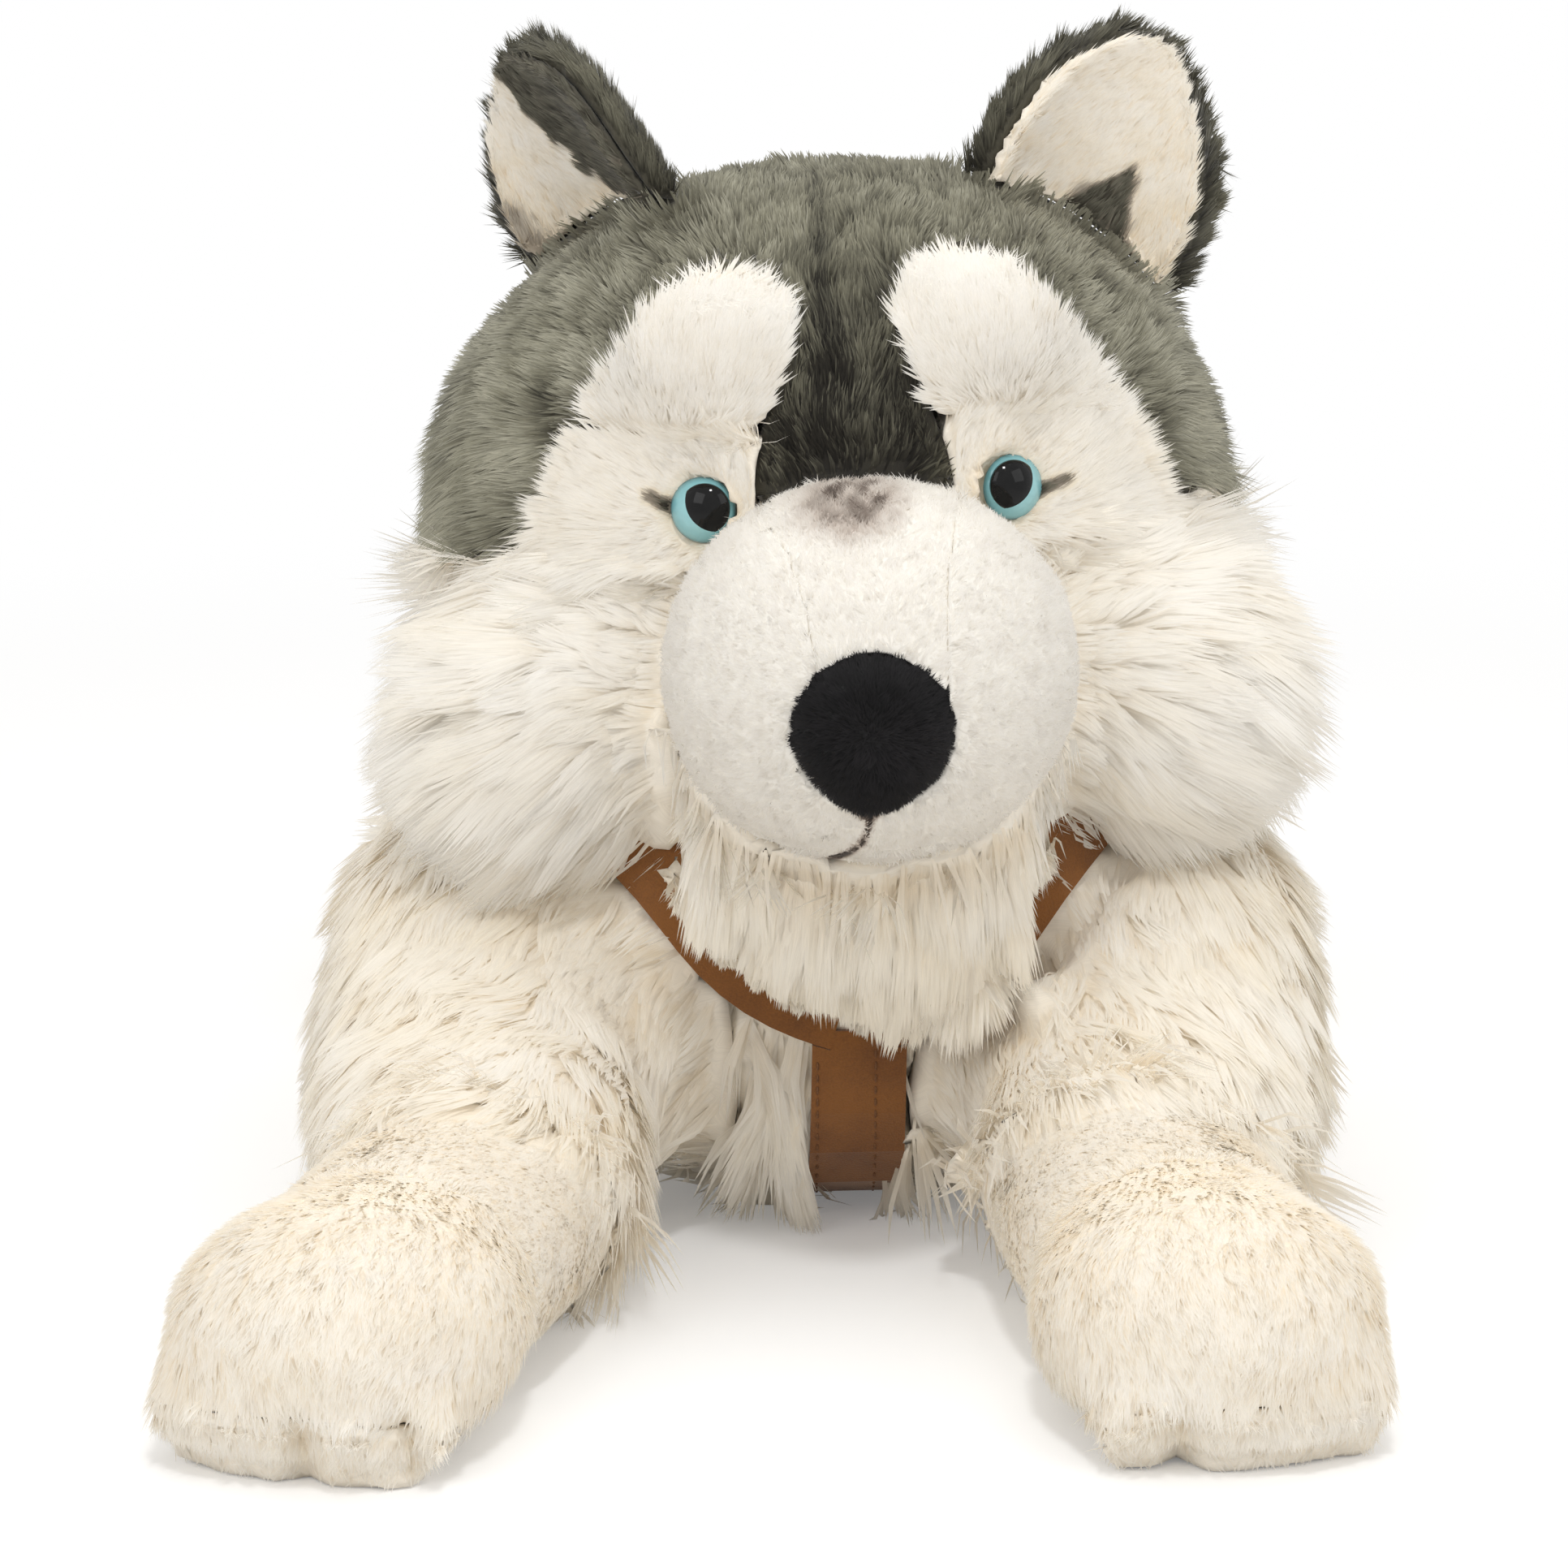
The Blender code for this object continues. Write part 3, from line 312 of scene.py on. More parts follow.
def even_skin(name, voxel, rounds):
    """The node's shape in small even facets."""
    bm = bmesh.new()
    bm.from_mesh(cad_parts[name].data)
    bmesh.ops.remove_doubles(bm, verts=bm.verts, dist=1e-6)
    item = placed(name + "_backing", mesh_of(bm, name + "_backing"))
    remesh = item.modifiers.new("even", "REMESH")
    remesh.mode = "VOXEL"
    remesh.voxel_size = voxel
    soft = item.modifiers.new("soft", "SMOOTH")
    soft.factor = 0.5
    soft.iterations = rounds
    item.modifiers.new("facets", "TRIANGULATE")
    return bake(item)


def arrays_of(mesh):
    """Vertices, vertex normals and triangles of a mesh as arrays."""
    read = []
    sources = (
        (mesh.vertices, "co", np.float32),
        (mesh.vertex_normals, "vector", np.float32),
        (mesh.polygons, "vertices", np.int32),
    )
    for items, field, kind in sources:
        values = np.empty(len(items) * 3, kind)
        items.foreach_get(field, values)
        read.append(values.reshape(-1, 3))
    return read[0].astype(float), read[1].astype(float), read[2]


def unit(v):
    """Vectors of length 1."""
    return v / np.maximum(np.linalg.norm(v, axis=-1, keepdims=True), 1e-9)


def face_normals(verts, faces):
    """Normal and area of each triangle."""
    a, b, c = verts[faces[:, 0]], verts[faces[:, 1]], verts[faces[:, 2]]
    cross = np.cross(b - a, c - a)
    return unit(cross), np.linalg.norm(cross, axis=1) / 2


def sky_rays(rng):
    """Directions spread over a half ball about +Z."""
    rays = unit(rng.normal(size=(SKY_RAYS, 3)))
    rays[:, 2] = np.abs(rays[:, 2]) + 0.25
    return [Vector(ray) for ray in unit(rays)]


def openness(name, verts, faces, rng):
    """For each face: 0 where another panel lies against it, else the share of the sky that it sees."""
    others = search_tree([other for other in all_names if other != name])
    normals, _ = face_normals(verts, faces)
    centres = verts[faces].mean(axis=1)
    rays = sky_rays(rng)
    shares = np.zeros(len(faces))
    for index, (centre, normal) in enumerate(zip(centres, normals)):
        out = Vector(normal)
        start = Vector(centre)
        if others.ray_cast(start - out * SEAM_REACH / 2, out, SEAM_REACH * 1.5)[0] is not None:
            continue
        if start.z < FLOOR_REST and out.z < -0.7:
            continue
        turn = out.to_track_quat("Z", "Y")
        seen = 0
        for ray in rays:
            way = turn @ ray
            blocked = start.z + way.z * SKY_REACH < 0.0
            if not blocked:
                blocked = others.ray_cast(start + out * MM, way, SKY_REACH)[0] is not None
            seen += not blocked
        shares[index] = max(seen / SKY_RAYS, LEAST_SHARE)
    return shares


def sunk(verts, faces, shares, depth):
    """Vertices with the open side moved in by the depth; what lies along a seam or the floor stays."""
    normals, areas = face_normals(verts, faces)
    weight = np.where(shares > 0.0, areas, 0.0)
    push = np.zeros_like(verts)
    strength = np.zeros(len(verts))
    total = np.zeros(len(verts))
    for corner in range(3):
        np.add.at(push, faces[:, corner], normals * weight[:, None])
        np.add.at(strength, faces[:, corner], weight)
        np.add.at(total, faces[:, corner], areas)
    share = strength / np.maximum(total, 1e-12)
    moved = verts - unit(push) * (depth * share[:, None])
    moved[:, 2] = np.maximum(moved[:, 2], FLOOR_LIFT)
    return moved

# %% [markdown]
# ## Pile
# A hair system would draw this fur, but only in a render. Real mesh fibres also survive in a model that is
# handed on, so each fibre here is a slim leaf of 1 or 3 triangles. Three things make leaves read as pile:
# the way they lie, which is a field over the toy; how their tips gather towards guide locks; and normals that
# are borrowed from the backing, so that light wraps round the whole coat instead of each leaf.
# The leaves' UV map is a swatch of fabric: U picks the tone, V runs from root to tip.

# %% Fields
def smooth(low, high, x):
    """0 below low, 1 above high, eased between."""
    t = np.clip((x - low) / (high - low), 0.0, 1.0)
    return t * t * (3.0 - 2.0 * t)


def ripple(points, wavelength, seed):
    """Smooth noise between about -1 and 1, as a few crossed waves."""
    rng = np.random.default_rng(seed)
    ways = unit(rng.normal(size=(6, 3))) * (math.tau / wavelength) * rng.uniform(0.6, 1.5, (6, 1))
    phases = rng.uniform(0.0, math.tau, 6)
    return np.sin(points @ ways.T + phases).mean(axis=1) * 2.0


def swirl(points, wavelength, seed):
    """Three ripples as directions."""
    return np.stack([ripple(points, wavelength, seed + axis) for axis in range(3)], axis=1)


def away_from(points, centre, flatten=1.0):
    """Directions away from a centre, with less or more of them along Y."""
    return unit((points - np.array(centre)) * np.array((1.0, flatten, 1.0)))


def heading(points, across, along, rise):
    """One direction a point, from its parts along X, Y and Z."""
    ways = np.zeros((len(points), 3))
    ways[:, 0], ways[:, 1], ways[:, 2] = across, along, rise
    return ways


def reach(points, centre):
    """Distance from each point to a centre."""
    return np.linalg.norm(points - np.array(centre), axis=1)


def aside(points, middle):
    """Distance from each point to a middle, sideways only."""
    return np.abs(points[:, 0] - middle.x)


UNCOVER_REACH = 30.0 * MM
UNDER_STRAP = 1.0 * MM


def over_strap(points):
    """How far each point stands in front of a strap, along the camera's line; 0 where it covers none."""
    depth = np.zeros(len(points))
    for index, point in enumerate(points):
        way = Vector(point) - camera.location
        distance = way.length
        hit = straps.ray_cast(camera.location, way / distance)[3]
        if hit is not None and distance < hit + UNDER_STRAP and hit - distance < UNCOVER_REACH:
            depth[index] = hit + UNDER_STRAP - distance
    return depth

# %% [markdown]
# A pile is described by a dictionary. Lengths are in metres and shares between 0 and 1. Lean is the leaves'
# angle to the backing in degrees, curl how much of it is lost towards the tip, and gather how far the leaves
# move to their guide lock, of which there is one for each clump of leaves. Part turns whole locks and stray
# single leaves. What a pile doesn't name is taken from the table of usual values, and its fabric is white.

# %% Usual values of a pile
USUAL = dict(
    segments=2, rounds=3, front=1.5, shape=None, clears=False, dent=None,
    clump=20, gather=0.5, part=0.12, stray=0.10, mess=0.10, curl=0.4, droop=0.0, wave=0.0,
    uneven=0.25, vary=0.08, speckle=0.02, roll=0.22, own=0.16, round=0.15,
)
FLOOR_CLEAR = 0.4 * MM
SHADOW_SHARE = 0.16
LEAF_SPAN = 0.012
BACKING_RISE = 0.06
PALEST, DARKEST = 0.98, 0.02
TAPERS = {1: [1.0], 2: [0.8, 1.0]}
SWIRL_WAVE = 34.0 * MM
SWAY_WAVE = 45.0 * MM
LENGTH_RANGE = (0.75, 1.12)
WIDTH_RANGE = (0.7, 1.25)
PULL_RANGE = (0.35, 1.0)
PULL_POWER = 1.4

# %% Leaves of pile
def gathered(roots, pile, rng):
    """For each root the number of its nearest guide lock, and how many guides there are."""
    count = max(len(roots) // pile["clump"], 1)
    guides = rng.choice(len(roots), size=count, replace=False)
    tree = kdtree.KDTree(count)
    for index, guide in enumerate(guides):
        tree.insert(roots[guide], index)
    tree.balance()
    return guides, np.array([tree.find(root)[1] for root in roots])


def leaf_curves(roots, normals, flow, lengths, pile, phases):
    """Points along each leaf: it starts up from the backing and bends over to lie with the flow."""
    count = pile["segments"]
    across = unit(np.cross(flow, normals))
    points = [roots]
    for step in range(count):
        share = (step + 0.5) / count
        lean = math.radians(pile["lean"]) * (1.0 - pile["curl"] * share)
        way = flow * math.cos(lean) + normals * math.sin(lean)
        way[:, 2] -= pile["droop"] * share
        sway = pile["wave"] * np.sin(math.pi * share + phases)
        way = unit(way + across * sway[:, None])
        points.append(points[-1] + way * (lengths / count)[:, None])
    return np.stack(points, axis=1)


def scatter(verts, normals, faces, weights, count, rng):
    """Roots spread over the faces by weight, with the normal at each."""
    _, areas = face_normals(verts, faces)
    chance = areas * weights
    picks = rng.choice(len(faces), size=count, p=chance / chance.sum())
    a = np.sqrt(rng.random(count))
    b = rng.random(count)
    shares = np.stack([1.0 - a, a * (1.0 - b), a * b], axis=1)[:, :, None]
    roots = (verts[faces[picks]] * shares).sum(axis=1)
    out = unit((normals[faces[picks]] * shares).sum(axis=1))
    return roots, out


def leaves(curves, normals, widths, pile, tones, rng):
    """Vertices, triangles, UVs and normals of the leaves along the curves."""
    count, levels = curves.shape[0], curves.shape[1]
    ways = unit(np.gradient(curves, axis=1))
    sides = unit(np.cross(ways, normals[:, None, :]))
    roll = rng.normal(0.0, pile["roll"], count)[:, None, None]
    sides = unit(sides * np.cos(roll) + np.cross(sides, ways) * np.sin(roll))
    half = widths[:, None, None] * np.array(TAPERS[levels - 1])[None, :, None] / 2
    left = curves[:, :-1] - sides[:, :-1] * half
    right = curves[:, :-1] + sides[:, :-1] * half
    verts = np.concatenate([np.stack([left, right], axis=2).reshape(count, -1, 3), curves[:, -1:]], axis=1)
    strip = []
    for level in range(levels - 2):
        a = 2 * level
        strip += [(a, a + 1, a + 3), (a, a + 3, a + 2)]
    last = 2 * (levels - 2)
    strip.append((last, last + 1, last + 2))
    size = verts.shape[1]
    faces = (np.arange(count)[:, None, None] * size + np.array(strip)[None]).reshape(-1, 3)
    rise = np.linspace(0.0, 1.0, levels)
    edge = np.concatenate([np.tile([-1.0, 1.0], levels - 1), [0.0]])[None]
    u = edge / 2 * LEAF_SPAN + tones[:, None]
    v = np.concatenate([np.repeat(rise[:-1], 2), [1.0]])[None] * np.ones((count, 1))
    face_out = unit(np.cross(sides[:, :1], ways[:, :1]))
    shade = normals[:, None] * (1.0 - pile["own"]) + face_out * pile["own"]
    out = unit(shade + sides[:, :1] * (edge[:, :, None] * pile["round"]))
    return verts.reshape(-1, 3), faces, np.stack([u, v], axis=2).reshape(-1, 2), out.reshape(-1, 3)


def mesh_from(name, verts, faces, uvs, normals):
    """Triangle mesh with the swatch UV map and the given vertex normals."""
    mesh = bpy.data.meshes.new(name)
    mesh.vertices.add(len(verts))
    mesh.vertices.foreach_set("co", verts.astype(np.float32).ravel())
    mesh.loops.add(len(faces) * 3)
    mesh.loops.foreach_set("vertex_index", faces.astype(np.int32).ravel())
    mesh.polygons.add(len(faces))
    mesh.polygons.foreach_set("loop_start", np.arange(0, len(faces) * 3, 3, dtype=np.int32))
    layer = mesh.uv_layers.new(name="OFBake")
    layer.uv.foreach_set("vector", uvs[faces.ravel()].astype(np.float32).ravel())
    mesh.update(calc_edges=True)
    mesh.validate()
    mesh.normals_split_custom_set_from_vertices(normals.astype(np.float32))
    return mesh


total_triangles = 0


def dressed(name, part, arrays, fabric):
    """Piece that stands for a CAD node, from vertices, triangles, UVs and normals."""
    global total_triangles
    mesh = mesh_from(name + part, *arrays)
    mesh.materials.append(fabric)
    piece = placed(name + part, mesh)
    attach(piece, "root")
    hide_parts(name)
    total_triangles += len(mesh.polygons)
    return piece


def backing_of(name, pile, rng):
    """A node's finished backing: vertices, normals, triangles and each triangle's share of the sky."""
    skin = even_skin(name, pile["voxel"], pile["rounds"])
    verts, _, faces = arrays_of(skin)
    shares = openness(name, verts, faces, rng)
    verts = sunk(verts, faces, shares, pile["sink"])
    if pile["shape"]:
        verts = pile["shape"](verts)
    if pile["clears"]:
        away = unit(verts - np.array(camera.location))
        verts = verts + away * over_strap(verts)[:, None]
    if pile["dent"]:
        verts[:, 1] += pile["dent"](verts)
        verts[:, 2] = np.maximum(verts[:, 2], FLOOR_LIFT)
    skin.vertices.foreach_set("co", verts.astype(np.float32).ravel())
    skin.update()
    verts, normals, faces = arrays_of(skin)
    bpy.data.meshes.remove(skin)
    return verts, normals, faces, shares


def combed(roots, out, guides, lock, pile, rng):
    """The way that each leaf lies: the flow, swirled a little, turned lock by lock and leaf by leaf."""
    flow = unit(pile["flow"](roots) + swirl(roots, SWIRL_WAVE, 5) * pile["mess"])
    flow = flow + rng.normal(0.0, pile["part"], (len(guides), 3))[lock]
    flow = flow + rng.normal(0.0, pile["stray"], flow.shape)
    return unit(flow - out * (flow * out).sum(axis=1, keepdims=True))


def furred(name, pile):
    """Fabric for a CAD node: its backing with part of the pile, and the finer wisps over it."""
    rng = np.random.default_rng(all_names.index(name) + 7)
    verts, normals, faces, shares = backing_of(name, pile, rng)
    facing, _ = face_normals(verts, faces)
    weights = shares * (1.0 + pile["front"] * np.maximum(-facing[:, 1], 0.0))
    roots, out = scatter(verts, normals, faces, weights, pile["count"], rng)
    guides, lock = gathered(roots, pile, rng)
    flow = combed(roots, out, guides, lock, pile, rng)
    lengths = pile["length"](roots) * rng.uniform(*LENGTH_RANGE, len(roots))
    lengths = lengths * rng.uniform(1.0 - pile["uneven"], 1.0, len(guides))[lock]
    widths = pile["width"] * rng.uniform(*WIDTH_RANGE, len(roots))
    phases = ripple(roots, SWAY_WAVE, 21) * math.pi
    curves = leaf_curves(roots, out, flow, lengths, pile, phases)
    pull = rng.uniform(*PULL_RANGE, len(guides))[lock] * pile["gather"]
    levels = np.linspace(0.0, 1.0, curves.shape[1]) ** PULL_POWER
    curves = curves + (curves[guides][lock] - curves) * (pull[:, None, None] * levels[None, :, None])
    curves[:, :, 2] = np.maximum(curves[:, :, 2], FLOOR_CLEAR)
    tones = pile["tone"]((curves[:, 0] + curves[:, -1]) / 2)
    tones = tones + (rng.random(len(guides))[lock] - 0.5) * pile["vary"]
    tones = np.clip(tones + rng.normal(0.0, pile["speckle"], len(roots)), DARKEST, PALEST)
    dense = rng.random(len(roots)) < SHADOW_SHARE
    kept = np.ones(len(roots), bool)
    if pile["clears"]:
        kept = (over_strap(curves[:, -1]) == 0.0) & (over_strap(curves[:, -2]) == 0.0)

    def grown(chosen):
        return leaves(curves[chosen], out[chosen], widths[chosen], pile, tones[chosen], rng)

    backing_tones = np.clip(pile["tone"](verts), DARKEST, PALEST)
    backing_uvs = np.stack([backing_tones, np.full(len(verts), BACKING_RISE)], axis=1)
    coat = grown(kept & dense)
    coat = [
        np.concatenate([verts, coat[0]]),
        np.concatenate([faces, coat[1] + len(verts)]),
        np.concatenate([backing_uvs, coat[2]]),
        np.concatenate([normals, coat[3]]),
    ]
    dressed(name, "_pile", coat, pile["fabric"])
    wisps = dressed(name, "_wisps", grown(kept & ~dense), pile["fabric"])
    wisps.visible_shadow = False
    wisps.visible_diffuse = False
    print(name, "leaves", len(roots), "backing", len(faces))

# %% [markdown]
# ## Fabrics
# Pile fabric is dyed fibre. On the swatch, U runs through the tones that the toy needs, from the darkest to
# the palest, and V takes each from the root's colour to the tip's. Fine noise stretched along V draws single
# fibres on every leaf, as colour and as bump.

# %% Swatch material
def ramp(tree, factor, stops):
    """Colours between stops, read off a factor."""
    made = tree.nodes.new("ShaderNodeValToRGB")
    tree.links.new(factor, made.inputs["Fac"])
    elements = made.color_ramp.elements
    while len(elements) < len(stops):
        elements.new(0.5)
    for element, (place, colour) in zip(elements, stops):
        element.position = place
        element.color = (*colour, 1.0)
    return made.outputs["Color"]


def blend(tree, first, second, kind="MULTIPLY", factor=1.0):
    """Two colours multiplied or mixed."""
    made = tree.nodes.new("ShaderNodeMix")
    made.data_type = "RGBA"
    made.blend_type = kind
    return put(tree, made, Factor=factor, A=first, B=second).outputs["Result"]


def emboss(tree, shader, height, strength, depth):
    """Bump of a shader from a height."""
    made = node(tree, "ShaderNodeBump", Strength=strength, Distance=depth, Height=height)
    put(tree, shader, Normal=made.outputs["Normal"])


def grain(tree, scale, detail=2.0):
    """Fine noise over the object's coordinates."""
    place = tree.nodes.new("ShaderNodeTexCoord").outputs["Object"]
    return node(tree, "ShaderNodeTexNoise", Vector=place, Scale=scale, Detail=detail).outputs["Fac"]


SHINE_THROUGH = 0.40
BACKING_HEIGHT = 0.07
FIBRE_DEPTH = 0.6 * MM


def glow_through(tree, shader, colour, height):
    """Fibres let light through; the backing, low on the swatch, stops it."""
    fibre = node(tree, "ShaderNodeMapRange", Value=height, From_Min=BACKING_HEIGHT,
                 From_Max=BACKING_HEIGHT * 2, To_Max=SHINE_THROUGH)
    thin = node(tree, "ShaderNodeBsdfTranslucent", Color=colour)
    body = join(tree, "ShaderNodeMixShader", shader, thin, Fac=fibre.outputs["Result"])
    tree.links.new(body.outputs[0], tree.nodes["Material Output"].inputs["Surface"])


def swatch(name, roots, tips, rise=(0.15, 0.85), fibre=0.22, rough=0.75, sheen=0.25, bump=0.25):
    """Pile fabric: root and tip colours over the tones, and fibres drawn along each leaf."""
    made, tree, shader = new_material(name)
    uv = tree.nodes.new("ShaderNodeUVMap")
    uv.uv_map = "OFBake"
    parts = node(tree, "ShaderNodeSeparateXYZ", Vector=uv.outputs["UV"])
    tone, height = parts.outputs["X"], parts.outputs["Y"]
    stretch = node(tree, "ShaderNodeMapping", Vector=uv.outputs["UV"], Scale=(420.0, 2.5, 1.0))
    streaks = node(tree, "ShaderNodeTexNoise", Vector=stretch.outputs["Vector"], Scale=1.0, Detail=2.0)
    climb = node(tree, "ShaderNodeMapRange", Value=height, From_Min=rise[0], From_Max=rise[1])
    body = blend(tree, ramp(tree, tone, roots), ramp(tree, tone, tips), "MIX", climb.outputs["Result"])
    lights = node(tree, "ShaderNodeMapRange", Value=streaks.outputs["Fac"], From_Min=0.3, From_Max=0.7,
                  To_Min=1.0 - fibre, To_Max=1.0 + fibre * 0.5)
    dyed = blend(tree, body, lights.outputs["Result"])
    put(tree, shader, Base_Color=dyed, Roughness=rough, Specular_IOR_Level=0.25,
        Sheen_Weight=sheen, Sheen_Roughness=0.45)
    emboss(tree, shader, streaks.outputs["Fac"], bump, FIBRE_DEPTH)
    glow_through(tree, shader, dyed, height)
    return made

# %% The fabrics of this toy
grey_fabric = swatch(
    "grey_pile_fabric",
    roots=[(0.0, (0.010, 0.008, 0.006)), (0.5, (0.100, 0.092, 0.062)), (1.0, (0.230, 0.218, 0.160))],
    tips=[(0.0, (0.018, 0.015, 0.011)), (0.5, (0.360, 0.345, 0.255)), (1.0, (0.640, 0.620, 0.500))],
    rise=(0.15, 0.95), fibre=0.35,
)
white_fabric = swatch(
    "white_pile_fabric",
    roots=[(0.0, (0.020, 0.014, 0.010)), (0.1, (0.070, 0.064, 0.046)), (0.25, (0.300, 0.250, 0.190)),
           (0.5, (0.880, 0.770, 0.600)), (1.0, (0.940, 0.895, 0.810))],
    tips=[(0.0, (0.030, 0.022, 0.016)), (0.1, (0.190, 0.182, 0.138)), (0.25, (0.380, 0.330, 0.270)),
          (0.5, (0.940, 0.880, 0.760)), (1.0, (0.965, 0.945, 0.905))],
    rise=(0.05, 0.70), fibre=0.08, bump=0.12,
)
velour_fabric = swatch(
    "white_velour_fabric",
    roots=[(0.0, (0.020, 0.014, 0.010)), (0.2, (0.160, 0.120, 0.095)), (0.5, (0.560, 0.490, 0.430)),
           (1.0, (0.900, 0.870, 0.800))],
    tips=[(0.0, (0.026, 0.018, 0.014)), (0.2, (0.200, 0.155, 0.125)), (0.5, (0.640, 0.580, 0.520)),
          (1.0, (0.940, 0.920, 0.880))],
    rise=(0.0, 0.8), fibre=0.05, bump=0.08,
)
nose_fabric = swatch(
    "black_pile_fabric",
    roots=[(0.0, (0.003, 0.003, 0.003)), (1.0, (0.006, 0.005, 0.006))],
    tips=[(0.0, (0.008, 0.007, 0.008)), (1.0, (0.022, 0.020, 0.022))],
    fibre=0.3, rough=0.6, sheen=0.15,
)

# %% [markdown]
# ## The head's coat
# The crown is combed back from the muzzle, over the forehead and out to the temples, where it grows long and
# wavy. White brows stand up over it. The cheeks' long locks radiate from the muzzle and fall at their ends.
# Brushed-on colour makes the stripe between the eyes, the patch on the muzzle and the corners of the eyes.

# %% Colours brushed on the face, and painted shade in a fold and round the eyes
STRIPE_TOP = 0.300
PATCH_PIXEL = (1046, 612)
CREASE_PIXELS = [(1010, 235), (1011, 320), (1020, 400), (1040, 470)]
EYE_STROKES = [
    [(804, 613), (812, 618), (826, 624)],
    [(1280, 604), (1296, 598), (1310, 593)],
]
LIP_PIXELS = [(1071, 1004), (1070, 1018), (1067, 1032), (1058, 1043), (1046, 1050), (1034, 1055),
              (1022, 1058)]
FAR_LIP_PIXELS = [(1022, 1058), (1000, 1060), (975, 1056)]
NOSE_POINT_PIXELS = [(1048, 985), (1071, 1001), (1094, 984)]
PATCH_RADII = (0.021, 0.040, 0.017)
patch_centre = at_pixel(*PATCH_PIXEL)


def line_through(pixels, spacing=0.0015):
    """Points close together on the toy along a line that the photograph shows."""
    knots = [at_pixel(*pixel) for pixel in pixels]
    knots = [knot for knot in knots if knot is not None]
    points = []
    for start, end in zip(knots, knots[1:]):
        steps = max(int((end - start).length / spacing), 1)
        points += [start.lerp(end, step / steps) for step in range(steps)]
    return points + [knots[-1]]


def crown_tone(points):
    """A dark stripe up from the muzzle, painted shade in the fold above it, and streaks paler at the temples.
    """
    width = 0.036 - 0.020 * smooth(0.225, 0.290, points[:, 2])
    stripe = 1.0 - smooth(0.50, 1.10, aside(points, patch_centre) / width)
    stripe = stripe * (1.0 - smooth(0.222, STRIPE_TOP, points[:, 2]))
    stripe *= smooth(0.02, -0.03, points[:, 1])
    # Painted shade: darker along the fold over the stripe.
    painted_fold_shade = 1.0 - smooth(3.0, 26.0, pixel_gap(points, CREASE_PIXELS))
    painted_fold_shade = painted_fold_shade * smooth(0.01, -0.02, points[:, 1])
    side = smooth(0.045, 0.090, aside(points, head_centre))
    streaks = ripple(points * np.array((1.0, 1.0, 0.45)), 13.0 * MM, 3)
    return 0.575 + 0.08 * streaks + 0.16 * side * (1.0 + 1.2 * streaks) - 0.52 * stripe - 0.22 * painted_fold_shade


def face_tone(points):
    """White, with a dark stroke at each eye's outer corner and painted shade round the eye."""
    shade = 1.0 - smooth(2.0, 17.0, pixel_gap(points, *EYE_STROKES))
    x, y = pixel_of(points)
    # Painted shade in a ring round each sunken eye.
    socket = np.zeros(len(points))
    for eye in eyes.values():
        eye_x, eye_y = pixel_of(np.array([eye]))
        socket = np.maximum(socket, 1.0 - smooth(38.0, 62.0, np.hypot(x - eye_x, y - eye_y)))
    return 0.84 + 0.05 * ripple(points, 30.0 * MM, 9) - 0.66 * shade - 0.24 * socket


def muzzle_tone(points):
    """White, with the brushed patch on top, the dark lips and the point under the nose."""
    offset = (points - np.array(patch_centre)) / np.array(PATCH_RADII)
    streaks = 0.75 + 0.25 * ripple(points * np.array((1.0, 0.3, 0.3)), 4.0 * MM, 2)
    patch = (1.0 - smooth(0.25, 1.0, np.linalg.norm(offset, axis=1))) * streaks
    lips = 1.0 - smooth(1.0, 7.0, pixel_gap(points, LIP_PIXELS))
    far_lips = 0.16 * (1.0 - smooth(1.0, 8.0, pixel_gap(points, FAR_LIP_PIXELS)))
    point = 1.0 - smooth(9.0, 15.0, pixel_gap(points, NOSE_POINT_PIXELS))
    dark = np.maximum(np.maximum(lips, far_lips), point)
    return 0.95 - 0.80 * patch - 0.90 * dark


def even_tone(value, vary=0.05):
    """One tone with soft clouds in it."""
    return lambda points: value + vary * ripple(points, 30.0 * MM, 4)

# %% How the head's pile lies
def crown_flow(points):
    """Back from the muzzle, and down over the temples."""
    root = np.array(muzzle_centre) + np.array((0.0, 0.01, 0.02))
    out = away_from(points, root, 1.1)
    side = smooth(0.060, 0.105, aside(points, head_centre))
    low = 1.0 - smooth(0.16, 0.26, points[:, 2])
    out[:, 2] -= 1.3 * side * (0.35 + 0.65 * low)
    out[:, 1] += 0.35
    return out


def brow_flow(side):
    """Up and out from the middle of the brow."""
    middle = middle_of("brow_" + side)

    def flow(points):
        out = away_from(points, middle) * 0.9
        out[:, 2] += 0.7
        out[:, 1] += 0.2
        return out
    return flow


def face_flow(points):
    """Away from the muzzle, and close to an eye away from the eye."""
    out = away_from(points, muzzle_centre, 1.0)
    out[:, 2] -= 0.9 * (1.0 - smooth(0.190, 0.212, points[:, 2]))
    for eye in eyes.values():
        close = 1.0 - smooth(0.0, 0.022, reach(points, eye))
        out = out + away_from(points, eye) * (2.5 * close)[:, None]
    return out


def cheek_flow(points):
    """Away from the muzzle, drooping at the sides."""
    out = away_from(points, muzzle_centre, 0.6)
    out[:, 2] -= 0.35 * smooth(0.055, 0.100, aside(points, muzzle_centre))
    return out


def muzzle_flow(points):
    """Back from the nose."""
    out = away_from(points, nose_centre, 0.6)
    out[:, 1] += 0.6
    return out

# %% How long the head's pile is
def flat_length(value):
    """The same length all over."""
    return lambda points: np.full(len(points), value)


rims = search_tree(["brow_left", "brow_right", "face_left", "face_right"])
ears = search_tree(["ear_back_left", "ear_back_right"])


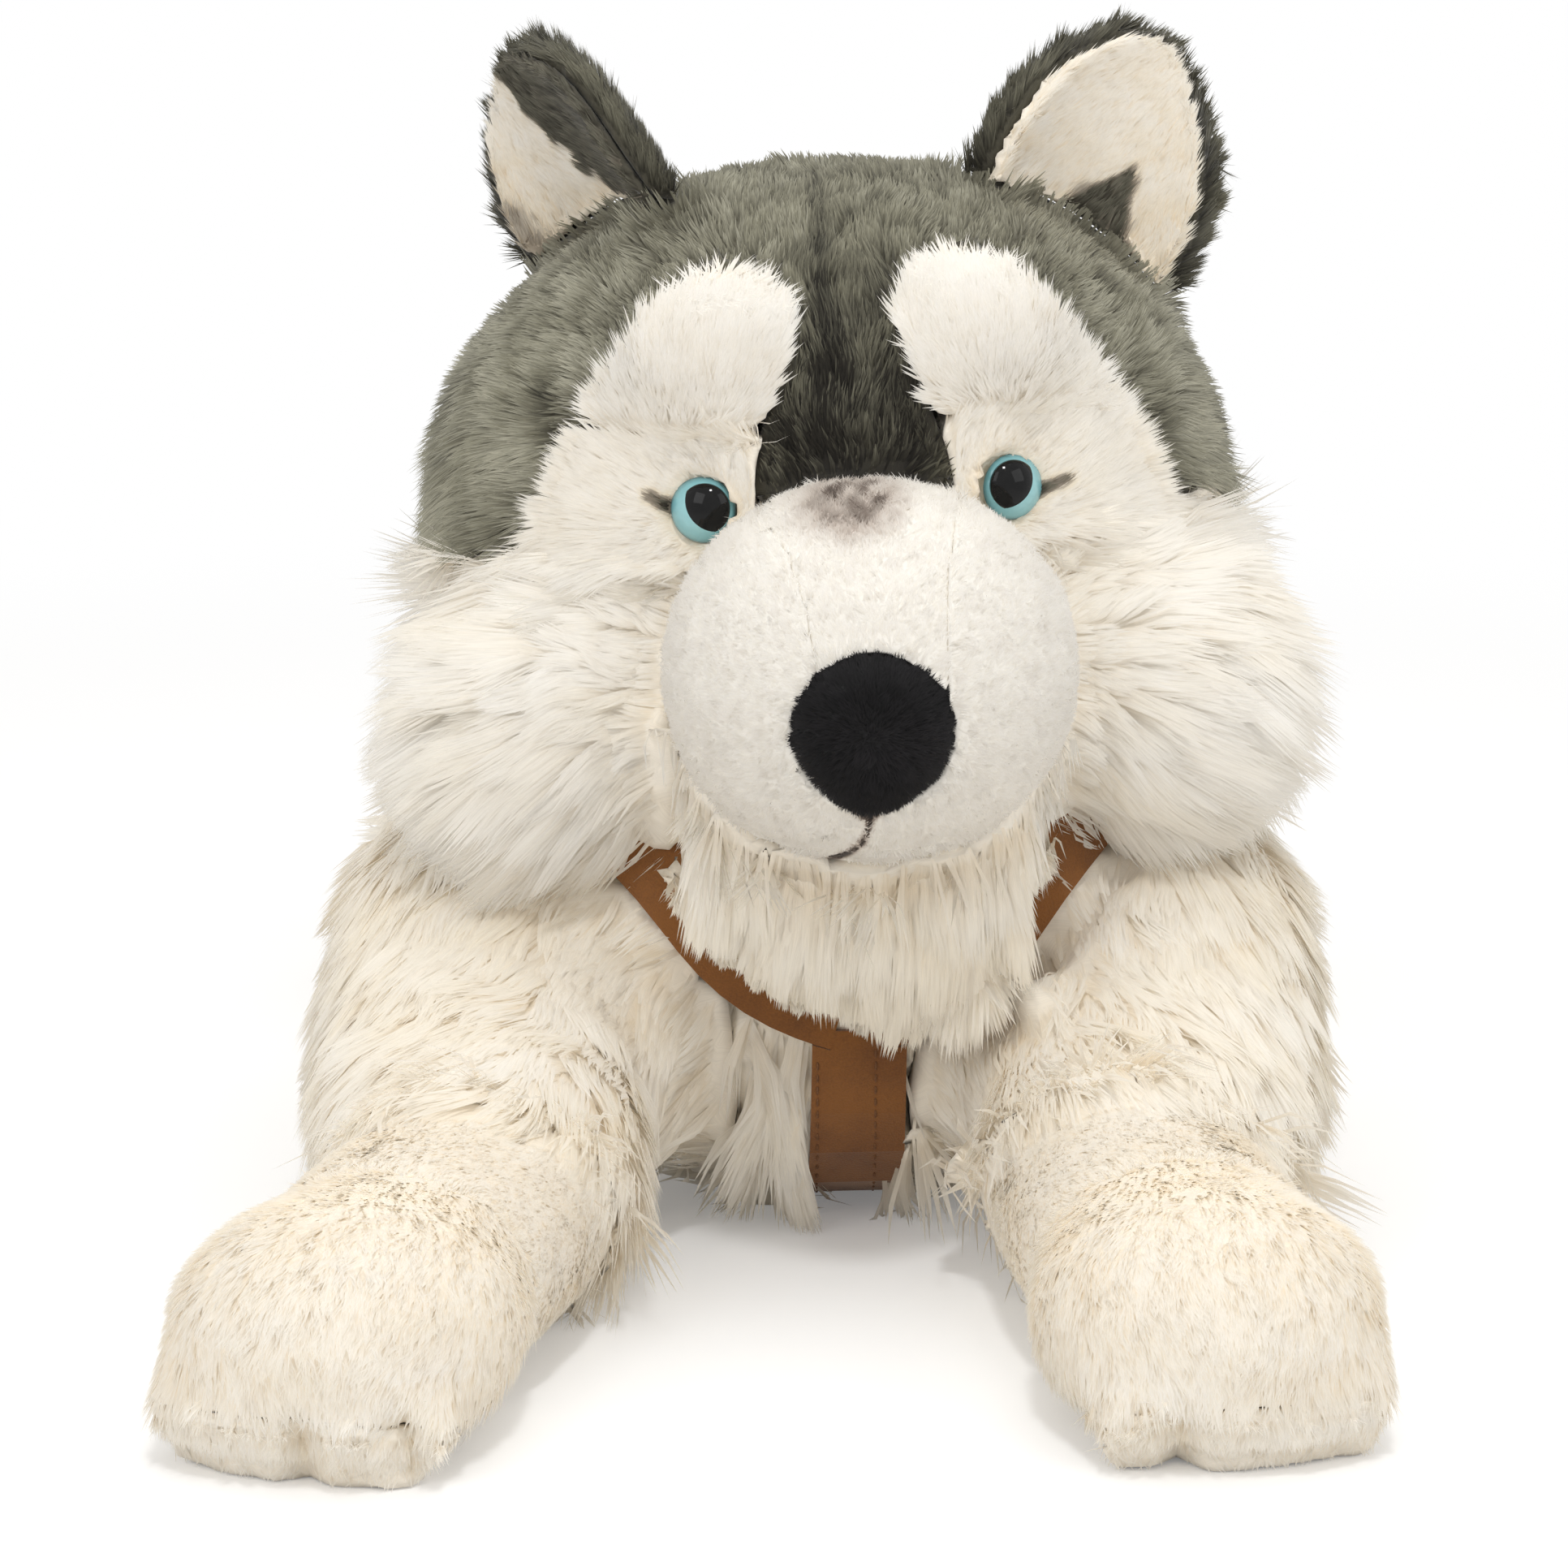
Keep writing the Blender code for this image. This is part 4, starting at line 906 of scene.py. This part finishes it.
def crown_length(points):
    """Short on the forehead and along the white panels, long at the temples, the ears and the back."""
    side = smooth(0.050, 0.100, aside(points, head_centre))
    low = 1.0 - smooth(0.20, 0.27, points[:, 2])
    back = smooth(-0.04, 0.04, points[:, 1])
    stripe = smooth(0.006, 0.05, reach(points, patch_centre))
    long = 0.010 + 0.014 * side * low + 0.008 * back
    long += 0.008 * (1.0 - smooth(0.002, 0.016, gap_to(ears, points)))
    return long * (0.45 + 0.55 * stripe) * (0.60 + 0.40 * smooth(0.001, 0.008, gap_to(rims, points)))


def face_length(points):
    """Clipped close round the eyes, and longer low on the face."""
    room = np.full(len(points), 1.0)
    for eye in eyes.values():
        offset = (points - np.array(eye)) * np.array((1.0, 0.6, 1.0))
        room = np.minimum(room, np.linalg.norm(offset, axis=1))
    low = 1.0 - smooth(0.185, 0.21, points[:, 2])
    return 0.003 + 0.009 * smooth(0.009, 0.022, room) + 0.008 * low * smooth(0.012, 0.03, room)


def cheek_length(points):
    """Long locks away from the muzzle, shorter at the straps."""
    long = 0.012 + 0.029 * smooth(0.055, 0.095, reach(points, muzzle_centre))
    return long * (0.45 + 0.55 * smooth(0.0, 0.02, gap_to(straps, points)))


def muzzle_length(points):
    """Short pile, clipped closer along the lips and longer at the rim."""
    rim = smooth(0.050, 0.072, reach(points, nose_centre))
    return 0.0012 + 0.0026 * smooth(3.0, 16.0, pixel_gap(points, LIP_PIXELS)) + 0.0035 * rim


def swollen(name, growth=1.025):
    """Grows a panel's backing a little, so that no dark gap stays at its seams."""
    centre = np.array(middle_of(name))
    return lambda points: centre + (points - centre) * growth


def nose_shape(points):
    """The round CAD nose made broader above and pointed below."""
    low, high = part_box("nose")
    rise = (points[:, 2] - nose_centre.z) / (high.z - low.z) * 2.0
    width = 1.0 + 0.06 * np.clip(rise, 0.0, 1.0) - 0.22 * np.clip(-rise, 0.0, 1.0) ** 1.5
    out = points.copy()
    out[:, 0] = nose_centre.x + (points[:, 0] - nose_centre.x) * width
    out[:, 2] = points[:, 2] - 0.0015 * np.clip(-rise, 0.0, 1.0) ** 2
    return out

# %% Grow the head
DENSITY = 0.80
VELOUR = dict(
    fabric=velour_fabric, segments=1, voxel=0.0020, sink=0.0012, rounds=1, width=0.0007, lean=24, front=0.3,
    stray=0.6, own=0.08, round=0.08, flow=muzzle_flow, length=muzzle_length, tone=muzzle_tone,
)
SHORN = dict(width=0.0007, clump=24, gather=0.15, part=0.06, uneven=0.12, stray=0.12)
HEAD_PILES = {
    "head_crown": dict(
        fabric=grey_fabric, count=50000, voxel=0.0036, sink=0.0050, width=0.0007, lean=32, curl=0.5,
        droop=0.1, clump=40, gather=0.22, vary=0.20, speckle=0.09, wave=0.24, part=0.08,
        flow=crown_flow, length=crown_length, tone=crown_tone,
    ),
    "muzzle_bridge": dict(VELOUR, count=9000, shape=swollen("muzzle_bridge")),
    "lower_jaw": dict(VELOUR, count=6000, shape=swollen("lower_jaw")),
    "nose": dict(
        fabric=nose_fabric, count=9000, segments=1, voxel=0.0020, sink=0.0010, width=0.0006, lean=36,
        front=0.5, stray=0.30, vary=0.5, own=0.4, shape=nose_shape,
        flow=muzzle_flow, length=flat_length(0.0048), tone=even_tone(0.5, 0.3),
    ),
}
for side in SIDES:
    HEAD_PILES["muzzle_side_" + side] = dict(
        VELOUR, count=15000, voxel=0.0022, shape=swollen("muzzle_side_" + side, 1.035),
    )
    HEAD_PILES["brow_" + side] = dict(
        SHORN, count=9000, voxel=0.0024, sink=0.0026, lean=44, curl=0.6,
        flow=brow_flow(side), length=flat_length(0.0110), tone=even_tone(0.92, 0.04),
    )
    HEAD_PILES["face_" + side] = dict(
        SHORN, count=10000, voxel=0.0028, sink=0.0035, lean=32, curl=0.5,
        shape=swollen("face_" + side, 1.02), flow=face_flow, length=face_length, tone=face_tone,
    )
    HEAD_PILES["cheek_" + side] = dict(
        count=24000, voxel=0.0040, sink=0.0070, width=0.0010, lean=40, curl=0.5, droop=0.20,
        clump=50, gather=0.55, part=0.14, uneven=0.50, wave=0.22,
        flow=cheek_flow, length=cheek_length, tone=even_tone(0.86, 0.06),
    )


def grow_all(piles):
    """Grow each pile of a table; a left one that has no right twin in it grows on both sides."""
    for name, pile in piles.items():
        twin = name.replace("left", "right")
        count = int(pile["count"] * DENSITY * (1.0))
        whole = {**USUAL, "fabric": white_fabric, **pile, "count": count}
        furred(name, whole)
        if twin not in piles:
            furred(twin, whole)


grow_all(HEAD_PILES)
print("triangles so far", total_triangles)

# %% [markdown]
# ## Mouth
# The mouth is one line of dark thread from under the nose, drawn tight so that the lips stand up beside it.
# The pile is clipped and brushed dark along it, and the thread lies in the groove.

# %% Mouth thread
THREAD_RADIUS = 0.28 * MM
THREAD_DEPTH = 0.7 * MM


def thread_finish(name, scale, stops, rough):
    """Twisted thread, with fine noise as its colour and bump."""
    made, tree, shader = new_material(name)
    twist = grain(tree, scale)
    put(tree, shader, Base_Color=ramp(tree, twist, stops), Roughness=rough)
    emboss(tree, shader, twist, 0.4, 0.2 * MM)
    return made


def thread_along(name, pixels, radius):
    """Tube of thread pressed a little into the surface along a line of the photograph."""
    path = bpy.data.curves.new(name, "CURVE")
    path.dimensions = "3D"
    path.bevel_depth = radius
    path.bevel_resolution = 2
    path.use_fill_caps = True
    knots = line_through(pixels)
    spline = path.splines.new("POLY")
    spline.points.add(len(knots) - 1)
    for point, knot in zip(spline.points, knots):
        inward = (muzzle_centre - knot).normalized()
        point.co = (*(knot + inward * THREAD_DEPTH), 1.0)
    piece = placed(name, bake(placed(name + "_path", path)))
    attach(piece, "root")
    return piece


dark_thread = thread_finish("dark_thread_finish", 2600.0,
                            [(0.35, (0.012, 0.009, 0.008)), (0.7, (0.060, 0.045, 0.038))], 0.8)
mouth = thread_along("mouth_thread", LIP_PIXELS, THREAD_RADIUS)
mouth.data.materials.append(dark_thread)
print("mouth thread faces", len(mouth.data.polygons))

# %% [markdown]
# ## Eyes
# A safety eye is a plastic dome on a shank. The iris is a ring of tinted plastic, and the pupil is a black
# dome that stands on it, so a lamp shows as a small bright window high on it. Both are turned on the axis
# that the washer behind them gives. The pupil sits a little inward and up, where pile leans over the ring.

# %% Turned parts of an eye
EYE_RADIUS = 9.0 * MM
EYE_CAP = 7.0 * MM
SHANK_RADIUS = 2.5 * MM
SHANK_LENGTH = 12.0 * MM
IRIS_BALL = 10.5 * MM
PUPIL_RADIUS = 6.8 * MM
PUPIL_BASE = 2.7 * MM
PUPIL_FOOT = 1.6 * MM
PUPIL_BALL = 9.2 * MM
PUPIL_ASIDE = 1.1 * MM
PUPIL_UP = 0.8 * MM
TURN_STEPS = 56
RIM = 0.8 * MM


def turned(name, profile, frame_of_eye, offset=(0.0, 0.0)):
    """Closed shape turned on the eye's axis from (radius, height) pairs, with its height in the UV map."""
    bm = bmesh.new()
    rim = [bm.verts.new((radius, 0.0, height)) for radius, height in profile]
    line = [bm.edges.new(pair) for pair in zip(rim, rim[1:])]
    bmesh.ops.spin(bm, geom=rim + line, cent=(0.0, 0.0, 0.0), axis=(0.0, 0.0, 1.0), angle=math.tau,
                   steps=TURN_STEPS, use_merge=True)
    bmesh.ops.remove_doubles(bm, verts=bm.verts, dist=1e-7)
    bmesh.ops.recalc_face_normals(bm, faces=bm.faces)
    layer = bm.loops.layers.uv.new("OFBake")
    for face in bm.faces:
        face.smooth = True
        for loop in face.loops:
            x, y, _ = loop.vert.co
            loop[layer].uv = (0.5 + math.atan2(y, x) / math.tau, math.hypot(x, y) / EYE_RADIUS)
    bmesh.ops.translate(bm, verts=bm.verts, vec=(offset[0], offset[1], 0.0))
    bmesh.ops.transform(bm, matrix=frame_of_eye, verts=bm.verts)
    piece = placed(name, mesh_of(bm, name))
    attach(piece, "root")
    return piece


def eye_frame(side):
    """Local frame of an eye: Z out along its axis, Y up, the origin in the plane of its rim."""
    out = (middle_of("eye_" + side) - middle_of("eye_washer_" + side)).normalized()
    across = Vector((0.0, 0.0, 1.0)).cross(out).normalized()
    turn = Matrix((across, out.cross(across), out)).transposed().to_4x4()
    front = max((v.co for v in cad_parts["eye_" + side].data.vertices), key=lambda co: co.dot(out))
    return Matrix.Translation(front - out * EYE_CAP) @ turn


def cap(radius, base, ball, steps=14):
    """Line from the axis down to the rim of a cap that is cut from a ball."""
    drop = math.sqrt(ball ** 2 - radius ** 2)
    stops = [radius * step / steps for step in range(steps + 1)]
    return [(out, base + math.sqrt(ball ** 2 - out ** 2) - drop) for out in stops]

# %% Plastics of the eyes
def plastic(name, stops, rough, coat, fleck=0.25, along="radius", specular=0.5):
    """Moulded plastic: a tint from the middle to the rim, faint flecks, and a clear lacquer."""
    made, tree, shader = new_material(name)
    flecks = grain(tree, 900.0)
    factor = flecks
    if along == "radius":
        uv = tree.nodes.new("ShaderNodeUVMap")
        uv.uv_map = "OFBake"
        factor = node(tree, "ShaderNodeSeparateXYZ", Vector=uv.outputs["UV"]).outputs["Y"]
    shade = node(tree, "ShaderNodeMapRange", Value=flecks, From_Min=0.3, From_Max=0.7,
                 To_Min=1.0 - fleck, To_Max=1.0)
    dyed = blend(tree, ramp(tree, factor, stops), shade.outputs["Result"])
    put(tree, shader, Base_Color=dyed, Roughness=rough, Specular_IOR_Level=specular,
        Coat_Weight=coat, Coat_Roughness=0.04)
    emboss(tree, shader, flecks, 0.05, 0.1 * MM)
    return made


iris_plastic = plastic(
    "iris_plastic", [(0.55, (0.30, 0.60, 0.63)), (0.86, (0.22, 0.50, 0.54)), (1.0, (0.10, 0.28, 0.32))],
    rough=0.22, coat=0.5, fleck=0.06,
)
pupil_plastic = plastic(
    "pupil_plastic", [(0.0, (0.004, 0.004, 0.004)), (0.74, (0.007, 0.007, 0.007))],
    rough=0.06, coat=0.0, fleck=0.4, specular=0.22,
)
washer_plastic = plastic(
    "washer_plastic", [(0.3, (0.66, 0.66, 0.63)), (0.7, (0.74, 0.74, 0.71))],
    rough=0.5, coat=0.0, along="flecks",
)


def refinish(name, material):
    """Give a CAD node that stays its only material."""
    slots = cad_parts[name].data.materials
    slots.clear()
    slots.append(material)


for side in SIDES:
    place = eye_frame(side)
    inward = -1.0 if side == "left" else 1.0
    iris_line = cap(EYE_RADIUS, 0.0, IRIS_BALL)
    iris_line += [(EYE_RADIUS * 0.93, -RIM), (SHANK_RADIUS, -RIM)]
    iris_line += [(SHANK_RADIUS, -SHANK_LENGTH), (0.0, -SHANK_LENGTH)]
    iris = turned("iris_" + side, iris_line, place)
    iris.data.materials.append(iris_plastic)
    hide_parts("eye_" + side)
    pupil_line = cap(PUPIL_RADIUS, PUPIL_BASE, PUPIL_BALL)
    pupil_line += [(PUPIL_RADIUS, PUPIL_FOOT), (0.0, PUPIL_FOOT)]
    pupil = turned("pupil_" + side, pupil_line, place, (inward * PUPIL_ASIDE, PUPIL_UP))
    pupil.data.materials.append(pupil_plastic)
    refinish("eye_washer_" + side, washer_plastic)
    print("eye", side, "faces", len(iris.data.polygons) + len(pupil.data.polygons))

# %% [markdown]
# ## Ears
# Each ear is two leaves sewn together: a dark grey back and a cream lining, both with short dense pile that
# runs to the tip. The back's pile turns over the edge and frames the lining.

# %% Grow the ears
EAR_TIPS = {}
for side in SIDES:
    low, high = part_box("ear_back_" + side)
    outer = high.x if side == "left" else low.x
    EAR_TIPS[side] = Vector((outer, middle_of("ear_back_" + side).y, high.z))


def ear_flow(side, spread):
    """Up to the tip, and spread out from the middle of the lining."""
    tip = np.array(EAR_TIPS[side])

    def flow(points):
        return unit(unit(tip - points) + away_from(points, middle_of("ear_lining_" + side)) * spread)
    return flow


def ear_back_tone(side):
    """Grey that darkens to the ear's edge."""
    inner = middle_of("ear_lining_" + side)

    def tone(points):
        edge = smooth(0.020, 0.034, reach(points, inner))
        return 0.40 - 0.16 * edge + 0.05 * ripple(points, 20.0 * MM, 8)
    return tone


FOLD = [(606, 90), (614, 102), (665, 158), (713, 206), (751, 233), (799, 265)]
FLAP = [(606, 190), (654, 252), (712, 281), (770, 289)]
HOLLOW = [(1236, 272), (1300, 240), (1395, 198)]
HOLLOW_END = 1398.0


def below(line, x, y):
    """How far each pixel lies under a line of the photograph."""
    return y - np.interp(x, *zip(*line))


def lining_tone(side):
    """Cream, with painted shade. The right ear turns its dark back over it; the left has a dark hollow."""
    low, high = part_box("ear_lining_" + side)

    def tone(points):
        x, y = pixel_of(points)
        ragged = 6.0 * ripple(points, 8.0 * MM, 2)
        # Painted shade: the lining is darker towards the ear's base, where it cups.
        rise = smooth(0.0, 0.7, (points[:, 2] - low.z) / (high.z - low.z))
        pale = 0.58 + 0.18 * rise + 0.10 * ripple(points, 12.0 * MM, 6)
        if side == "right":
            dark = smooth(-4.0, 6.0, ragged - below(FOLD, x, y))
            # Painted shade in the fold under the flap line.
            pale -= 0.26 * smooth(-6.0, 20.0, below(FLAP, x, y) + ragged)
        else:
            # The dark hollow is partly brown fabric and partly painted shade.
            dark = smooth(-6.0, 12.0, below(HOLLOW, x, y) + ragged)
            dark = dark * smooth(-10.0, 14.0, HOLLOW_END - x + ragged)
        return pale + (0.09 - pale) * dark
    return tone


EAR = dict(segments=1, lean=30, gather=0.25)
EAR_PILES = {}
for side in SIDES:
    EAR_PILES["ear_back_" + side] = dict(
        EAR, fabric=grey_fabric, count=14000, voxel=0.0028, sink=0.0022, width=0.0009, clump=30,
        vary=0.12, speckle=0.05, front=0.5,
        flow=ear_flow(side, 0.9), length=flat_length(0.0100), tone=ear_back_tone(side),
    )
    EAR_PILES["ear_lining_" + side] = dict(
        EAR, count=11000, voxel=0.0026, sink=0.0030, width=0.0008, clump=24,
        flow=ear_flow(side, 0.3), length=flat_length(0.0065), tone=lining_tone(side),
    )
grow_all(EAR_PILES)

# %% [markdown]
# ## Body and legs
# The chest, shoulders and flanks carry the longest pile, combed back and down in waves. Under the harness it
# lies flat, so it gets shorter there. The bib hangs in straight locks over the strap. The lower forelegs are
# clipped short like velvet, and the paws fluff out again round the toes.

# %% How the body's pile lies
FORE_PAWS = {side: np.array(middle_of("forepaw_" + side)) for side in SIDES}


def torso_flow(points):
    """Back, down and out from the middle."""
    return heading(points, 0.35 * np.sign(points[:, 0]), 0.45, -0.85)


def bib_flow(points):
    """Down, and a little out from the middle."""
    out = (points[:, 0] - middle_of("bib").x) / 0.06
    return heading(points, 0.30 * out, -0.05, -1.0)


def mantle_flow(points):
    """Back along the spine, and down the flanks."""
    return heading(points, 0.3 * points[:, 0] / 0.1, 1.0, -0.35)


def hind_flow(points):
    """Down and back."""
    return heading(points, 0.0, 0.5, -0.7)


def tail_flow(points):
    """Along the tail, which bends to one side."""
    return heading(points, -smooth(0.22, 0.30, points[:, 1]) - 0.4, 0.25, -0.35)


def upper_leg_flow(side):
    """To the paw, out and down."""
    def flow(points):
        out = unit(FORE_PAWS[side] - points)
        out[:, 0] += 0.35 * (1 if side == "left" else -1)
        out[:, 2] -= 0.45
        return out
    return flow


def lower_leg_flow(side):
    """Straight to the paw."""
    return lambda points: unit(FORE_PAWS[side] - points)


def paw_flow(side):
    """Away from the leg, and down round the toes."""
    shank = middle_of("lower_foreleg_" + side)

    def flow(points):
        out = away_from(points, shank)
        out[:, 2] -= 0.35 + 0.8 * (1.0 - smooth(0.012, 0.035, points[:, 2]))
        return out
    return flow


def long_length(value, least=0.25, tree=straps):
    """Long all over, and pressed down to the least share under the straps."""
    return lambda points: value * (least + (1.0 - least) * smooth(0.003, 0.030, gap_to(tree, points)))


BIB_HEM = [(740, 1020), (795, 1095), (850, 1150), (889, 1190), (928, 1216), (972, 1250), (1022, 1266),
           (1066, 1286), (1110, 1308), (1150, 1318), (1205, 1300), (1236, 1240), (1250, 1140),
           (1280, 1095), (1310, 1050), (1340, 1010)]
HEM_FRINGE = 26.0
PHOTO_PIXEL = 0.22 * MM


def over_hem(points):
    """How many pixels each point hangs below the bib's hem, less the room that its fringe needs."""
    return below(BIB_HEM, *pixel_of(points)) + HEM_FRINGE


def under_chin(points):
    """1 below the muzzle, 0 to the sides of it."""
    return smooth(0.056, 0.040, aside(points, muzzle_centre))


def bib_shape(points):
    """The bib's backing ends above the hem, so that the straps show beside the fringe."""
    out = points.copy()
    out[:, 2] += np.maximum(over_hem(points), 0.0) * PHOTO_PIXEL
    out[:, 1] += 0.009 * (1.0 - under_chin(points))
    return out


def bib_length(points):
    """Long in the middle, cut back to the fringe along the hem."""
    return 0.0075 + 0.0225 * smooth(-10.0, -120.0, over_hem(points)) * (0.3 + 0.7 * under_chin(points))


def bib_tone(points):
    """Painted shade: darker low down, where the fringe hangs in the shade."""
    return 0.63 + 0.23 * smooth(0.085, 0.130, points[:, 2]) + 0.06 * ripple(points, 30.0 * MM, 4)

# %% Toes
TOE_CLEFTS = {
    "right": [[(372, 1762), (376, 1800), (378, 1832)], [(500, 1750), (506, 1785), (508, 1815)]],
    "left": [[(1458, 1755), (1457, 1790), (1456, 1820)], [(1340, 1735), (1336, 1765), (1333, 1797)]],
}
CLEFT_DEPTH = 6.0 * MM
CLEFT_REACH = 42.0
PAW_FRONT = {side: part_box("forepaw_" + side)[0].y for side in SIDES}


def toe_dent(side):
    """How far the backing is drawn in along the clefts between the toes."""
    def dent(points):
        gap = pixel_gap(points, *TOE_CLEFTS[side])
        front = smooth(PAW_FRONT[side] + 0.070, PAW_FRONT[side] + 0.030, points[:, 1])
        return CLEFT_DEPTH * front * (1.0 - smooth(0.0, CLEFT_REACH, gap)) ** 1.5
    return dent


def paw_tone(side, value):
    """Cream, with painted shade down the clefts between the toes."""
    def tone(points):
        gap = pixel_gap(points, *TOE_CLEFTS[side])
        front = smooth(PAW_FRONT[side] + 0.060, PAW_FRONT[side] + 0.020, points[:, 1])
        # The darkening along the clefts is painted shade.
        return value + 0.05 * ripple(points, 24.0 * MM, 4) - 0.20 * front * (1.0 - smooth(2.0, 10.0, gap))
    return tone


def paw_length(points):
    """A little longer over the soles, so that the seam there is covered."""
    return 0.0080 + 0.0040 * (1.0 - smooth(0.012, 0.030, points[:, 2]))

# %% Grow the body
LONG = dict(clump=40, wave=0.25)
CLIPPED = dict(segments=1, stray=0.2, gather=0.1, own=0.08, round=0.08)
BODY_PILES = {
    "torso": dict(
        count=27000, voxel=0.0060, sink=0.0090, width=0.0017, lean=28, curl=0.5, droop=0.15, clump=60,
        gather=0.4, wave=0.25, part=0.14, front=2.5, clears=True, flow=torso_flow,
        length=long_length(0.034, 0.14, search_tree(["girth_strap"])), tone=even_tone(0.74, 0.08),
    ),
    "bib": dict(
        count=20000, voxel=0.0042, sink=0.0105, width=0.0011, lean=24, curl=0.7, droop=0.25, clump=60,
        part=0.08, uneven=0.45, wave=0.14, shape=bib_shape,
        flow=bib_flow, length=bib_length, tone=bib_tone,
    ),
    "mantle": dict(
        LONG, fabric=grey_fabric, count=10000, voxel=0.0065, sink=0.0080, width=0.0022, lean=28, curl=0.5,
        vary=0.20, flow=mantle_flow, length=long_length(0.028), tone=even_tone(0.56, 0.08),
    ),
    "hind_thigh_left": dict(
        LONG, count=6500, voxel=0.0060, sink=0.0080, width=0.0021, lean=30, curl=0.5,
        flow=hind_flow, length=long_length(0.028), tone=even_tone(0.76, 0.08),
    ),
    "hind_paw_left": dict(
        count=4500, segments=1, voxel=0.0040, sink=0.0025, width=0.0013, lean=28, gather=0.3,
        flow=hind_flow, length=flat_length(0.009), tone=even_tone(0.66),
    ),
    "tail": dict(
        LONG, fabric=grey_fabric, count=7500, voxel=0.0055, sink=0.0090, width=0.0020, lean=32, vary=0.20,
        flow=tail_flow, length=flat_length(0.032), tone=even_tone(0.56, 0.08),
    ),
    "tail_tip": dict(
        LONG, count=3200, voxel=0.0050, sink=0.0080, width=0.0018, lean=28, gather=0.6,
        flow=tail_flow, length=flat_length(0.030), tone=even_tone(0.78, 0.08),
    ),
}
for side in SIDES:
    BODY_PILES["upper_foreleg_" + side] = dict(
        count=17000, voxel=0.0050, sink=0.0080, width=0.0013, lean=26, curl=0.5, droop=0.15, clump=60,
        gather=0.4, wave=0.25, uneven=0.3, clears=(side == "right"),
        flow=upper_leg_flow(side), length=long_length(0.030, 0.55), tone=even_tone(0.72, 0.09),
    )
    BODY_PILES["lower_foreleg_" + side] = dict(
        CLIPPED, count=24000, voxel=0.0038, sink=0.0014, width=0.0010, lean=16, clump=30,
        flow=lower_leg_flow(side), length=flat_length(0.0070), tone=even_tone(0.76, 0.06),
    )
    BODY_PILES["forepaw_" + side] = dict(
        count=22000, segments=1, voxel=0.0034, sink=0.0018, width=0.0009, lean=22, clump=30, gather=0.15,
        stray=0.15, own=0.10, round=0.10, dent=toe_dent(side),
        flow=paw_flow(side), length=paw_length, tone=paw_tone(side, 0.76),
    )
    BODY_PILES["forepaw_sole_" + side] = dict(
        CLIPPED, count=3600, voxel=0.0028, sink=0.0040, width=0.0009, lean=24, dent=toe_dent(side),
        flow=paw_flow(side), length=flat_length(0.0060), tone=paw_tone(side, 0.78),
    )
grow_all(BODY_PILES)
print("triangles in all", total_triangles)

# %% [markdown]
# ## Harness
# The straps are brown felt. Their CAD solids have the right thickness and route, so they stay, with a felt
# finish whose noise reads object coordinates. A row of thread runs along each side of the strap over the
# breastbone, where the photograph shows it.

# %% Felt
FELT_BROWN = (0.250, 0.094, 0.018)
FELT_DARK = (0.165, 0.060, 0.014)


def felt():
    """Matted wool: fine noise for its fibres, with broad clouds under it."""
    made, tree, shader = new_material("brown_felt_finish")
    fine = grain(tree, 1800.0, 3.0)
    mixed = tree.nodes.new("ShaderNodeMath")
    mixed.operation = "MULTIPLY_ADD"
    tree.links.new(fine, mixed.inputs[0])
    mixed.inputs[1].default_value = 0.7
    tree.links.new(grain(tree, 60.0), mixed.inputs[2])
    colour = ramp(tree, mixed.outputs[0], [(0.55, FELT_DARK), (1.1, FELT_BROWN)])
    put(tree, shader, Base_Color=colour, Roughness=0.9, Sheen_Weight=0.3)
    emboss(tree, shader, fine, 0.5, 0.5 * MM)
    return made


felt_finish = felt()
for name in all_names:
    if "strap" in name:
        refinish(name, felt_finish)

# %% Stitches of the breast strap
STITCH_ASIDE = 8.0 * MM
STITCH_STEP = 3.6 * MM
STITCH_LENGTH = 2.6 * MM
STITCH_WIDTH = 0.8 * MM
STITCH_RISE = 0.15 * MM


def stitch_row(name, strap, offset):
    """Short stitches up a strap's front, each lying on the felt."""
    low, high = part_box(strap)
    felt_side = search_tree([strap])
    middle = (low.x + high.x) / 2 + offset
    knots = []
    height = low.z + STITCH_STEP
    while height < high.z:
        start = Vector((middle, low.y - 0.1, height))
        place, out, _, _ = felt_side.ray_cast(start, Vector((0.0, 1.0, 0.0)))
        if place is not None:
            knots.append((place, out))
        height += STITCH_STEP
    bm = bmesh.new()
    for (place, out), (following, _) in zip(knots, knots[1:]):
        along = (following - place).normalized()
        made = bmesh.ops.create_uvsphere(bm, u_segments=8, v_segments=5, radius=0.5)["verts"]
        bmesh.ops.scale(bm, verts=made, vec=(STITCH_WIDTH, STITCH_WIDTH * 0.8, STITCH_LENGTH))
        turn = along.to_track_quat("Z", "Y").to_matrix().to_4x4()
        bmesh.ops.transform(bm, verts=made, matrix=Matrix.Translation(place + out * STITCH_RISE) @ turn)
    for face in bm.faces:
        face.smooth = True
    piece = placed(name, mesh_of(bm, name))
    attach(piece, "root")
    return piece


brown_thread = thread_finish("brown_thread_finish", 2400.0,
                             [(0.35, (0.110, 0.042, 0.012)), (0.7, (0.230, 0.098, 0.032))], 0.7)
for row, offset in (("left", STITCH_ASIDE), ("right", -STITCH_ASIDE)):
    stitches = stitch_row("breast_strap_stitches_" + row, "breast_strap", offset)
    stitches.data.materials.append(brown_thread)
    print("stitches", row, len(stitches.data.polygons), "faces")
